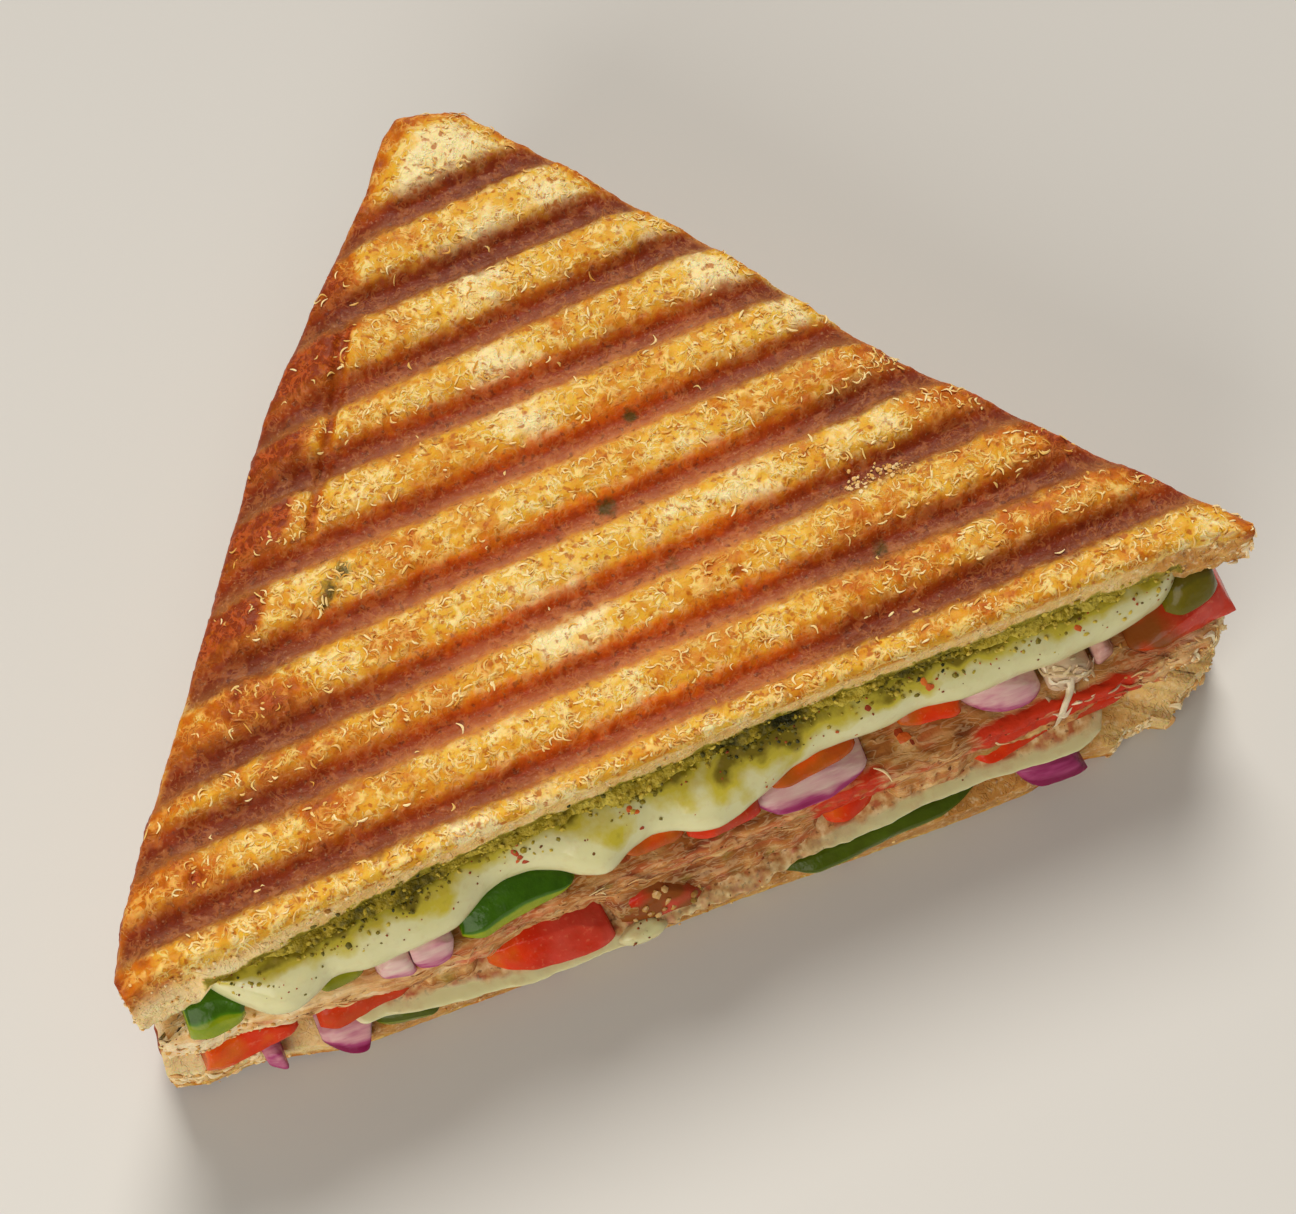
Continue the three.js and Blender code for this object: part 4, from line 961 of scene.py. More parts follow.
def toasted_slice(front, distance, cell, steps, grooves, groove_depth, facing, shape):
    """A slice browned on the side that faces up (facing 1) or down (-1). Its crust lies
    distance inside the plan's, and its side has so many steps. Gives the mesh and its
    masks."""
    bm, plan, level = slice_sheet(slice_outline(front, distance), cell, steps + 2)
    x, y = plan[:, 0], plan[:, 1]
    gap, out = gap_to(CRUST, x, y)
    gap = np.maximum(gap - distance, 0)
    cut_gap = np.maximum(y - along(front, x), 0)
    at_cut = (cut_gap < gap).astype(float)
    edge = np.where(level > 0, 0, np.minimum(gap, cut_gap))
    face, d, spot = pressed_face(x, y, gap, edge, facing, shape, groove_depth, grooves)
    fold = gap_to(FOLD, x, y)[0] if facing > 0 else np.full(x.shape, np.inf)
    holes = np.clip(spread(x, y, HOLES), 0, 1) * (facing > 0)
    face = face - 0.7 * (1 - ease(0.2, 1.3, fold)) - 0.9 * holes

    t = np.clip(level / steps, 0, 1)
    inner = span(x, -65.5, -63.5, 64.0, 66.0) * at_cut
    foot = mix(shape["foot_crust"], shape["foot_cut"], inner)
    if facing > 0:   # the upper slice is thinner at its torn right tip
        foot = np.where((x > 60) & (y < 5), np.maximum(foot, UPPER_TIP_FOOT), foot)
    torn_foot = 0.6 * lumps(np.column_stack([x, 0 * x, 0 * x]), 1.5, 15) * shape["stain"]
    z = mix(face, foot + torn_foot * inner, t)
    lean = (along(shape["foot_line"], x) - along(front, x)) * t
    wall = np.column_stack([x, y, z])
    push = wall_push(wall, level, t, at_cut)
    out = np.where(at_cut[:, None] > 0.5, (0.0, -1.0), out)
    x = x + out[:, 0] * push
    y = y + out[:, 1] * push + at_cut * lean
    hidden = level > steps
    tucked = inset(np.column_stack([x, y]), CRUST_BAND)
    x = np.where(hidden, tucked[:, 0], x)
    y = np.where(hidden, tucked[:, 1], y)
    z = np.where(level > steps + 1, shape["foot_cut"], z)
    place_points(bm, np.column_stack([x, y, z]))

    on_cut = at_cut * (level > 0)
    # On the lower slice the crumb between the ends is browned as painted shade, where its cut lies in
    # shadow under the filling
    bake = 0.45 + shape["bake"] * (1 - ease(48, 58, np.abs(x)))
    bake = bake - 0.3 * ease(48, 60, -x) + shape["end_bake"] * ease(56, 64, x) + 0.15 * lumps(wall, 3.0, 16)
    hard = 0.1 + 0.9 * ease(14, 50, np.hypot(x + 4, y - 26)) + 0.35 * lumps(spot, 11, 13)
    stain = on_cut * inner * ease(0.5, 0.95, t + 0.35 * lumps(wall, 3.0, 14)) * shape["stain"]
    masks = {
        "across": np.abs(d) / HALF_PITCH,
        "side": np.sin(math.pi * np.clip(d / HALF_PITCH, -1, 1)),
        "tone": face_tone(x, y, gap, (level > 0) * (1 - at_cut), fold, holes, spot, facing),
        "hard": np.clip(hard, 0, 1),
        "ground": (level == 0) * ease(0.2, 1.6, edge + 0.4),
        "crumb": on_cut * ease(0.06, 0.26 + 0.4 * ease(44, 60, -x), t + 0.08 * lumps(wall, 1.2, 11)),
        "green": 0.9 * stain,
        "herb": np.clip(spread(x, y, GREEN_SPOTS), 0, 1) * (level == 0),
        "bake": bake,
    }
    return bm, masks


def upper_slice(sizes, colours):
    bm, masks = toasted_slice(
        RIM, distance=0.0, cell=sizes.fine_cell / MM, steps=16, grooves=GROOVES,
        groove_depth=sizes.groove_depth / MM, facing=1, shape=UPPER_SHAPE)
    finish_piece(bm, "upper_slice", toasted_bread(colours), masks, ["bread_top"])


def lower_slice(sizes, colours):
    bm, masks = toasted_slice(
        BOTTOM_FRONT, distance=0.4, cell=sizes.coarse_cell / MM, steps=14, grooves=UNDER_GROOVES,
        groove_depth=UNDER_GROOVE_DEPTH, facing=-1, shape=LOWER_SHAPE)
    material = bpy.data.materials["toasted_white_bread"]
    finish_piece(bm, "lower_slice", material, masks, ["bread_bottom"])


# How brown and how red the middle slice's cut face is, as x and value
MIDDLE_TONES = [
    (-72.0, 0.0), (-64.0, 0.05), (-52.0, 0.35), (-40.0, 0.5), (-30.0, 0.56), (-16.0, 0.7),
    (-4.0, 0.76), (6.0, 0.7), (14.0, 0.62), (24.0, 0.56), (34.0, 0.6), (48.0, 0.56),
    (58.0, 0.5), (66.0, 0.38), (73.0, 0.12),
]
MIDDLE_REDS = [
    (-70.0, 0.0), (-58.0, 0.08), (-46.0, 0.3), (-34.0, 0.2), (-24.0, 0.25), (-16.0, 0.3),
    (-8.0, 0.15), (2.0, 0.3), (12.0, 0.35), (22.0, 0.2), (30.0, 0.3), (40.0, 0.2),
    (52.0, 0.35), (62.0, 0.35), (70.0, 0.1),
]


def torn_side(wall, t, at_cut):
    """How far the middle slice's side stands out: torn at the cut and calmer round it."""
    torn = 0.5 * lumps(wall * (0.4, 1, 1.7), 2.2, 21) + 0.28 * lumps(wall, 1.1, 22)
    torn += 0.15 * strands(wall * (0.35, 1, 1.6), 1.9, 23) - 0.35 * pores(wall * (0.6, 1, 1.3), 1.8, 24)
    torn += 0.9 * ease(56, 62, wall[:, 0]) * lumps(wall, 1.3, 29)
    calm = 0.45 * lumps(wall, 3.5, 25) + 0.2 * lumps(wall, 1.2, 26)
    return mix(calm, torn, at_cut) - 1.3 * np.abs(2 * t - 1) ** 4 * mix(0.9, 0.6, at_cut)


def soaked_masks(x, spot, over, at_cut):
    """How brown, red and green the middle slice is. over is how far in from its rim."""
    tone = straight(MIDDLE_TONES, x) + 0.3 * lumps(spot, 4.0, 27) + 0.3 * (1 - at_cut)
    tone = tone + 0.4 * lumps(spot * (0.5, 1, 1.4), 2.0, 38) * at_cut
    red = straight(MIDDLE_REDS, x) * at_cut + 0.6 * lumps(spot * (0.4, 1, 1.5), 3.0, 28)
    red = red + span(x, 32, 37, 52, 62) * (1 - ease(0.1, 1.2, over)) * at_cut
    red = red + 0.95 * span(x, 11, 14, 21, 26) * (1 - ease(0.6, 2.0, over)) * at_cut
    herbs = ease(0.35, 0.7, lumps(spot * (0.6, 1, 1.4), 1.6, 37)) * span(x, -24, -10, 16, 30) * at_cut
    return {"tone": tone, "red": red, "green": 0.6 * herbs}


def middle_slice(sizes, colours):
    wall_rows, top_rows, row_step = 18, 15, 0.55
    outline = slice_outline(MIDDLE_FRONT, distance=0.9)
    bm, points, t = ring_body(outline, step=0.34, levels=wall_rows + top_rows)
    row = t * (wall_rows + top_rows - 1)
    t = np.clip(row / (wall_rows - 1), 0, 1)
    over = np.maximum(row - wall_rows + 1, 0) * row_step
    x, y = points[:, 0], points[:, 1]
    _, out = gap_to(CRUST, x, y)
    at_cut = (y - straight(MIDDLE_FRONT, x) < 0.5).astype(float)
    inner = span(x, -65.5, -62.0, 62.0, 66.0) * at_cut
    top = mix(MIDDLE_EDGE, MIDDLE[1], inner)
    # Lower at both torn tips
    top = np.where((x > 57) & (y < 5.6), MIDDLE[1], top)
    top = np.where((x < -59) & (y < 9.0), np.minimum(top, MIDDLE_TIP), top)
    z = mix(MIDDLE[0], top, t)
    push = torn_side(np.column_stack([x, y, z]), t, at_cut)
    out = np.where(at_cut[:, None] > 0.5, (0.0, -1.0), out)
    x, y = inset(np.column_stack([x, y]) + out * push[:, None], over[:, None]).T
    spot = np.column_stack([x, y, z])
    z = z + (over > 0) * (0.5 * lumps(spot, 2.6, 30) + 0.25 * lumps(spot * (0.6, 1, 1), 1.2, 36) - 0.15)
    place_points(bm, np.column_stack([x, y, z]))
    masks = soaked_masks(x, spot, over, at_cut)
    finish_piece(bm, "middle_slice", soaked_crumb(), masks, ["bread_middle"])


# Where torn crumb of the middle slice hangs down to the lower cheese, as x and share
FRINGE = [
    (-60.0, 0.0), (-41.5, 0.0), (-40.0, 1.0), (-33.5, 1.0), (-31.5, 0.0), (-16.0, 0.0), (-14.0, 1.0),
    (13.0, 1.0), (15.0, 0.0), (22.5, 0.0), (24.5, 1.0), (33.0, 1.0), (35.5, 0.6), (54.0, 0.6), (60.0, 0.0),
]


def crumb_fringe(sizes, colours):
    """Torn crumb that hangs from the front of the middle slice to the lower cheese."""
    bm, u, a = tube(stations=360, around=26)
    x = ends_of(FRINGE, u)
    wave = a * 2 * math.pi
    shows = along(FRINGE, x)
    foot = along(CHEESE_LOWER_NOSE, x) + 1.2
    front = (1 + np.cos(wave)) / 2
    rise = (1 + np.sin(wave)) / 2
    y = mix(-4.5, mix(foot, -8.7, rise), front) + 4.0 * (1 - shows)
    z = mix(10.8, 15.6, rise)
    spot = np.column_stack([x, y, z])
    torn = 0.6 * lumps(spot * (0.7, 1, 1), 1.9, 151) + 0.35 * lumps(spot, 0.9, 152)
    y = y - (torn - 0.5 * pores(spot, 1.6, 153)) * front
    z = z + 0.3 * lumps(spot, 1.4, 154)
    place_points(bm, np.column_stack([x, y, z]))
    masks = {
        "tone": straight(MIDDLE_TONES, x) + 0.35 * lumps(spot, 2.5, 155) + 0.1 * (x < 0),
        "red": straight(MIDDLE_REDS, x) - 0.1 + 0.4 * lumps(spot, 3.0, 156),
        "green": np.clip(0.9 * lumps(spot, 2.0, 157) - 0.15, 0, 0.7),
    }
    finish_piece(bm, "crumb_fringe", bpy.data.materials["soaked_bread_crumb"], masks)


# Chutney and cheese


# How dark with leaf the chutney is, as x and value
CHUTNEY_DARK = [
    (-66.0, 0.0), (-58.0, 0.1), (-52.0, 0.15), (-48.0, 0.4), (-44.0, 0.4), (-41.0, 0.1), (-39.5, 0.55),
    (-34.5, 0.6), (-32.0, 0.05), (-20.0, 0.1), (-6.0, 0.1), (1.5, 0.15), (3.5, 0.65), (12.5, 0.75),
    (15.0, 0.2), (20.0, 0.05), (23.5, 0.1), (25.0, 0.5), (28.5, 0.5), (30.0, 0.3), (31.5, 0.65),
    (34.0, 0.6), (36.0, 0.05), (44.0, 0.0), (66.0, -0.1),
]


def chutney_layer(sizes, colours):
    bm, u, a = tube(stations=420, around=22)
    x = mix(*CHUTNEY_ENDS, u)
    wave = a * 2 * math.pi
    spot = np.column_stack([x, 3 * np.cos(wave), 3 * np.sin(wave)])
    front = np.minimum(along(CHEESE_LIP, x), along(CRUMB_FOOT, x)) - 0.1
    thick = CHUTNEY[1] - CHUTNEY[0] + 0.5
    bulge = 0.8 * lumps(spot, 1.7, 31) + 0.8 * lumps(spot, 4.5, 32) + 0.5 * lumps(spot, 0.9, 33) - 0.1
    inwards = (1 - np.cos(wave)) / 2
    ends = np.abs(2 * u - 1) ** 12
    y = front + inwards * CHUTNEY_DEPTH - bulge * (1 - inwards) + 5.0 * ends
    z = (CHUTNEY[0] + CHUTNEY[1]) / 2 + np.sin(wave) * thick / 2 * (1 + 0.5 * bulge) * (1 - 0.8 * ends)
    place_points(bm, np.column_stack([x, y, z]))
    dark = 0.14 + 0.5 * lumps(np.column_stack([x, 0 * x, 0 * x]), 5.0, 34) + along(CHUTNEY_DARK, x)
    finish_piece(bm, "chutney_spread", green_chutney(colours), {"dark": dark}, ["chutney"])


def cheese_profile(a, x):
    """Place of each point round the upper cheese: the back of its top, its lip, its
    nose, its foot and its base."""
    lip = along(CHEESE_LIP, x)
    nose = along(CHEESE_NOSE, x)
    low, high = CHEESE_UPPER
    base = MIDDLE[1] + 0.3
    back = lip + CHEESE_UPPER_DEPTH - 7 * ease(56, 64, x)
    stops = (0.0, 0.10, 0.52, 0.66, 0.78, 0.86, 1.0)
    ys = [lip + 3.0, lip, nose, nose + 1.3, nose + 4.2, back, back]
    zs = [high, high, low + 1.6, low, base, base, high]
    y = z = np.zeros(x.shape)
    for i in range(len(stops) - 1):
        part = (a >= stops[i]) & (a <= stops[i + 1])
        ty = tz = np.clip((a - stops[i]) / (stops[i + 1] - stops[i]), 0, 1)
        if i == 1:
            ty, tz = np.sin(ty * math.pi / 2) ** 1.05, 1 - np.cos(ty * math.pi / 2)
        elif i == 2:
            ty, tz = 1 - np.cos(ty * math.pi / 2), np.sin(ty * math.pi / 2)
        y = np.where(part, mix(ys[i], ys[i + 1], ty), y)
        z = np.where(part, mix(zs[i], zs[i + 1], tz), z)
    return y, z


def upper_cheese(sizes, colours):
    bm, u, a = tube(stations=380, around=60)
    x = ends_of(CHEESE_NOSE, u)
    y, z = cheese_profile(a, x)
    spot = np.column_stack([x, y, z])
    face = ease(0.08, 0.2, a) * (1 - ease(0.6, 0.7, a))
    ends = np.abs(2 * u - 1) ** 30 * (1 - ease(0.66, 0.78, a))
    y = y - face * (0.35 * lumps(spot, 6.0, 41) + 0.10 * lumps(spot, 2.2, 42)) + 3.5 * ends
    z = mix(z + face * 0.2 * lumps(spot, 5.0, 43), np.mean(CHEESE_UPPER), 0.5 * ends)
    place_points(bm, np.column_stack([x, y, z]))
    reach = 4.3 - 1.5 * span(x, -24, -12, 22, 34)
    stain = 0.8 - reach * np.clip(a - 0.1, 0, 1) + 0.7 * lumps(spot, 3.5, 44)
    stain = stain + 0.5 * along(CHUTNEY_DARK, x) - ends
    blush = 0.15 * ease(0.5, 0.9, 0.5 + 0.5 * lumps(spot, 3.0, 45)) * ease(0.4, 0.55, a)
    masks = {"stain": stain * (a < 0.7), "blush": blush}
    finish_piece(bm, "upper_cheese", melted_cheese(colours), masks, ["cheese_upper"])


# Where the lower cheese has taken in crumb and spice, as x and share
CRUMBY = [
    (-60.0, 0.9), (-50.0, 0.3), (-46.0, 0.0), (-16.0, 0.0), (-11.0, 1.0), (10.0, 1.0), (16.0, 0.2),
    (22.0, 0.0), (50.0, 0.0), (56.0, 0.9),
]


def lower_cheese(sizes, colours):
    bm, u, a = tube(stations=400, around=72)
    x = ends_of(CHEESE_LOWER_NOSE, u)
    low, high = CHEESE_LOWER
    wave = a * 2 * math.pi
    inwards = (1 - np.cos(wave)) / 2
    y = along(CHEESE_LOWER_NOSE, x) + inwards * CHEESE_LOWER_DEPTH
    inner = ease(0.1, 0.5, inwards)
    z = (low + high) / 2 + 0.6 * inner + np.sin(wave) * mix((high - low) / 2, 2.6, inner)
    spot = np.column_stack([x, y, z])
    crumby = along(CRUMBY, x)
    y = y - (1 - inwards) * (0.3 * lumps(spot, 4.0, 51) + mix(0.1, 0.6, crumby) * lumps(spot, 1.3, 52))
    z = z + mix(0.05, 0.45, crumby) * (lumps(spot, 1.5, 59) + 0.5 * lumps(spot, 0.8, 60)) * (wave < math.pi)
    place_points(bm, np.column_stack([x, y, z]))
    behind = y - along(CHEESE_LOWER_NOSE, x) + 0.7 * lumps(spot, 1.6, 58)
    blush = 0.8 * crumby + 0.2 * lumps(spot, 3.0, 54) + ease(1.3, 2.3, behind)
    masks = {"stain": 0.05 + 0.25 * lumps(spot, 5.0, 53), "blush": blush}
    finish_piece(bm, "lower_cheese", bpy.data.materials["melted_cheese"], masks, ["cheese_lower"])


# How far the cheese line along the crust ran out past the slices, as x and distance
SEAM_OUT = [
    (-60.0, 0.0), (38.0, 0.0), (41.0, 1.0), (46.0, 1.1), (48.0, 0.0), (51.0, 1.0), (60.0, 1.3), (63.0, 0.0),
]
# Each seam's lower and upper edge, how far inside the crust it lies and where it ran out
SEAMS = {
    "upper_cheese_seam": (MIDDLE_EDGE - 0.6, TOP_EDGE + 0.6, 0.9, SEAM_OUT),
    "lower_cheese_seam": (BOTTOM_EDGE - 0.6, MIDDLE[0] + 0.6, 1.7, [(0.0, 0.0), (1.0, 0.0)]),
}


def cheese_seams(sizes, colours):
    """Cheese between the slices, along the crust."""
    for name, (low, high, distance, bulges) in SEAMS.items():
        inside = [(x, 6.0) for x in (-62.0, -30.0, 0.0, 30.0, 62.0)]
        outline = np.vstack([np.array(inside), inset(CRUST[1:-1], distance)])
        bm, points, t = ring_body(outline, step=0.5, levels=9)
        x, y = points[:, 0], points[:, 1]
        gap, out = gap_to(CRUST, x, y)
        spot = np.column_stack([x, y, mix(low, high, t)])
        push = 0.5 * lumps(spot, 3.5, 61) + 0.25 * lumps(spot, 1.4, 62) - 0.7 * np.abs(2 * t - 1) ** 3
        push = push - 1.6 * (1 - ease(6.0, 11.0, y))
        push = (gap < 3.0) * (push + 1.6 * straight(bulges, x) * (y > 0))
        place_points(bm, np.column_stack([x + out[:, 0] * push, y + out[:, 1] * push, spot[:, 2]]))
        blush = np.clip(0.6 * lumps(spot, 2.5, 64), 0, 1)
        masks = {"stain": 0.25 + 0.5 * lumps(spot, 3.0, 63), "blush": blush}
        finish_piece(bm, name, bpy.data.materials["melted_cheese"], masks)


DROP_PIXEL = (642, 930)   # its middle in the picture
DROP_SIZE = (3.3, 1.5, 1.3)


def cheese_drop(sizes, colours):
    """The lump of cheese that squeezed out past the middle of the lower layer."""
    spots, _ = landing([DROP_PIXEL], "lower_cheese")
    bm = bmesh.new()
    bmesh.ops.create_icosphere(bm, subdivisions=4, radius=1.0)
    ball = points_of(bm)
    shape = ball * (1 + 0.22 * lumps(ball, 0.8, 55)[:, None]) * DROP_SIZE
    place_points(bm, shape + spots[0] + (0, 0, -0.2))
    masks = {"stain": 0.1 + 0.2 * lumps(shape, 1.2, 56), "blush": 0.1 + 0.2 * lumps(shape, 1.5, 57)}
    finish_piece(bm, "cheese_drop", bpy.data.materials["melted_cheese"], masks)


# Vegetables


FRONT_SHARE = 0.34   # share of the ring on each side of the front's middle that shows


def looks_of(kind):
    """Name and look of each piece of one kind of vegetable."""
    return [(name, spec["look"]) for name, spec in PIECES.items() if name.startswith(kind)]


def strip(name, fine, ridge=(0.5, 0.5)):
    """A flat piece whose leaning front shows at the cut. ridge is how far back and how
    far up the middle of that front is. Gives the mesh, its points, 0..1 along it and
    0..1 up its front."""
    spec = PIECES[name]
    top, foot = np.array(spec["top"]), np.array(spec["foot"])
    z0, z1 = spec["z"]
    bm, u, a = tube(max(24, int((top[-1, 0] - top[0, 0]) / 0.28)), 44)
    a = np.where(a > 0.5, a - 1, a)
    up = (1 + np.clip(a / FRONT_SHARE, -1, 1)) / 2
    behind = np.clip((np.abs(a) - FRONT_SHARE) / (0.5 - FRONT_SHARE), 0, 1)
    lean = np.interp(up, (0, 0.5, 1), (0, ridge[0], 1))
    rise = np.interp(up, (0, 0.5, 1), (0, ridge[1], 1))
    left = mix(foot[0, 0], top[0, 0], up)
    right = mix(foot[-1, 0], top[-1, 0], up)
    x = mix(left, right, u)
    side = 2 * u - 1
    thinning = np.where(side < 0, *spec["ends"])
    thin = 1 - thinning * np.abs(side) ** (2.4 - 1.2 * thinning)
    y = mix(along(foot, x), along(top, x), lean) - 0.3 * (1 - (2 * up - 1) ** 2)
    y = y + (0.3 + 1.3 * thinning) * np.abs(side) ** 6
    y = mix(y, foot[:, 1].min() + spec["depth"], behind)
    z = z0 + (z1 - z0) * thin * (0.5 + (rise - 0.5) * (1 - 0.3 * behind))
    points = np.column_stack([x, y, z])
    shows = 1 - behind
    seed = top[0, 0]
    tip = ease(0.8, 1.0, np.abs(side))
    points[:, 0] += 0.4 * shows * lumps(points * (1, 0.6, 0.6), 1.8, seed + 3) * tip
    points[:, 1] -= shows * fine * (lumps(points, 3.2, seed) + 0.5 * lumps(points, 1.3, seed + 7))
    points[:, 2] += shows * fine * (0.7 * lumps(points, 2.8, seed + 5) + 0.3 * lumps(points, 1.1, seed + 6))
    place_points(bm, points)
    return bm, points, u, up


def peppers(sizes, colours):
    """Strips with dark skin on top and pale flesh where the knife went through."""
    material = green_pepper(colours)
    for name, (share, brown) in looks_of("pepper"):
        bm, points, u, up = strip(name, 0.1, (0.3, 0.62) if share > 0.2 else (0.5, 0.5))
        skin = ease(-0.09, 0.07, up - (1 - share) + 0.05 * lumps(points, 2.5, 71))
        skin = 0.28 + 0.62 * skin + 0.1 * lumps(points, 4.0, 75)
        masks = {"skin": skin, "brown": np.full(len(u), brown)}
        finish_piece(bm, name + "_strip", material, masks, [name])


def onions(sizes, colours):
    """Slices, pale above, with a magenta skin along their lower edge."""
    material = red_onion(colours)
    for name, (above, below, brown) in looks_of("onion"):
        bm, points, u, up = strip(name, 0.12)
        skin = mix(below, above, ease(0.1, 0.62, up + 0.12 * lumps(points, 3, 72)))
        masks = {"skin": skin, "brown": np.full(len(u), brown)}
        finish_piece(bm, name + "_slice", material, masks, [name])


def tomatoes(sizes, colours):
    """Flat wet slices with a straight cut front."""
    material = ripe_tomato(colours)
    for name, (start, end, *spice) in looks_of("tomato"):
        bm, points, u, _ = strip(name, 0.16)
        tone = mix(start, end, ease(0.1, 0.6, u)) + 0.15 * lumps(points, 2.5, 73)
        brown = mix(*spice, ease(0.2, 0.6, u)) * ease(-0.2, 0.5, lumps(points, 3.5, 74) + 0.3)
        masks = {"tone": tone, "brown": brown}
        finish_piece(bm, name + "_slice", material, masks, [name])


def spaced_in_space(line, count):
    """Evenly spaced points along a line in space."""
    steps = np.linalg.norm(np.diff(line, axis=0), axis=1)
    reach = np.concatenate([[0.0], np.cumsum(steps)])
    at = np.linspace(0, reach[-1], count)
    return np.column_stack([np.interp(at, reach, line[:, k]) for k in range(3)])


# Places of the hanging shred in the picture, from its top down
THREAD_PIXELS = [(1068, 690), (1064, 700), (1060, 712), (1055, 722), (1046, 728)]


def onion_thread(sizes, colours):
    """Pale shred of onion that hangs from the upper layer over the tomato."""
    line, _ = landing(THREAD_PIXELS, "middle_slice", "tomato_lower_6_slice", "lower_cheese")
    start = line[0] + (1.2, 2.6, 3.2)
    stations = 40
    way = spaced_in_space(np.vstack([start, line + (0, -0.5, 0.3)]), stations)
    bm, u, a = tube(stations, 8)
    wave = a * 2 * math.pi
    thick = mix(0.75, 0.28, u) * np.minimum(1, 6 * (1 - u) + 0.4)
    points = way[np.round(u * (stations - 1)).astype(int)]
    points = points + np.column_stack([np.cos(wave), 0 * wave, np.sin(wave)]) * thick[:, None]
    points = points + 0.12 * lumps(points, 1.0, 77)[:, None]
    place_points(bm, points)
    material = small_bits("soft_onion_shred", 0.3, [
        (0.0, "#FCEED0"), (0.5, "#EAD2A0"), (0.8, "#D8B494"), (1.0, "#BCA068")])
    finish_piece(bm, "onion_thread", material, {"hue": 0.15 + 0 * u})


# Ground, flaked and crumbled bits


LUMP_LENGTH = 2.6   # of a lump of size 1


def lump_cloud(name, spots, facing, size, flat, material, seed, hue=None):
    """One piece of many small rough lumps, each sitting half sunk in what carries it."""
    rng = np.random.default_rng(seed)
    bm = bmesh.new()
    bmesh.ops.create_icosphere(bm, subdivisions=1, radius=1.0)
    copy = repeated(bm, len(spots))
    ball = points_of(bm)
    ball = ball * (1 + 0.45 * lumps(ball * 1.4 + copy[:, None] * 3.7, 1.0, seed))[:, None]
    along_it, across_it = tangents(facing, rng.uniform(0, 2 * math.pi, len(spots)))
    stretch = rng.uniform(0.7, 1.5, (len(spots), 2))
    reach = (ball[:, 0] * size[copy] * stretch[copy, 0])[:, None] * along_it[copy]
    reach = reach + (ball[:, 1] * size[copy] * stretch[copy, 1])[:, None] * across_it[copy]
    reach = reach + (ball[:, 2] * size[copy] * flat)[:, None] * facing[copy]
    place_points(bm, below_top(spots[copy] + reach, copy))
    hue = rng.uniform(0, 1, len(spots)) if hue is None else hue
    finish_piece(bm, name, material, {"hue": hue[copy]}, smooth=False)


def below_top(points, copy):
    """Lowers each copy that would stand out over the top of the model's box."""
    highest = np.full(copy.max() + 1, -np.inf)
    np.maximum.at(highest, copy, points[:, 2])
    over = np.maximum(highest - CAD_BOX[1][2] / MM + 0.02, 0)
    return points - np.array((0.0, 0.0, 1.0)) * over[copy][:, None]


def tangents(facing, turn):
    """Two directions along a surface, turned about the direction it faces."""
    side = np.cross(facing, (0.3, 0.2, 0.93))
    side = side / np.linalg.norm(side, axis=1)[:, None]
    other = np.cross(facing, side)
    c, s = np.cos(turn)[:, None], np.sin(turn)[:, None]
    return side * c + other * s, other * c - side * s


def picked(name, count, seed, weigh):
    """Places on a finished piece, drawn at random by a weight, and the direction the
    piece faces there. The weight is worked out from x, y, z and how far the piece faces
    back, away from the cut, and up."""
    points, facing = surface_of(name)
    weight = np.clip(weigh(*points.T, facing[:, 1], facing[:, 2]), 0, None)
    rng = np.random.default_rng(seed)
    chosen = rng.choice(len(points), count, replace=False, p=weight / weight.sum())
    shift = rng.normal(0, 0.12, (count, 3))
    return points[chosen] + shift, facing[chosen], rng


def stacked(found):
    """Places and directions of several finds as one find."""
    return [np.vstack(parts) for parts in zip(*found)]


def gathered(seed, *layers):
    """Places on several finished pieces, each given by its name, a count and a weight."""
    return stacked(picked(name, count, seed + i, weigh)[:2]
                   for i, (name, count, weigh) in enumerate(layers))


def chutney_grains(sizes, colours):
    """Ground leaf along the chutney's edge, on the crumb above it and the cheese below."""
    def at_lip(x, y, z, back, up):
        return (np.exp(-(y - along(CHEESE_LIP, x)) ** 2 / 2.4) * (z > 31) * (back < 0.3)
                * (0.25 + along(CHUTNEY_DARK, x)))

    spots, facing = gathered(
        81,
        ("chutney_spread", 620, lambda x, y, z, back, up: (back < -0.1) * 1.0),
        ("upper_cheese", 380, at_lip),
        ("upper_slice", 260, lambda x, y, z, back, up: (
            (np.abs(z - 34.9) < 0.7) * (back < -0.3) * (np.abs(x) < 63))))
    rng = np.random.default_rng(84)
    size = rng.uniform(0.14, 0.42, len(spots)) * rng.uniform(0.6, 1.0, len(spots))
    hue = np.clip(rng.normal(0.24, 0.22, len(spots)) + 0.6 * along(CHUTNEY_DARK, spots[:, 0]), 0, 1)
    material = small_bits("ground_leaf", 0.6, [
        (0.0, "#DCC44E"), (0.35, "#B29E24"), (0.65, "#6E6614"), (1.0, "#2E3008")])
    lump_cloud("chutney_grains", spots, facing, size, 0.8, material, 85, hue)


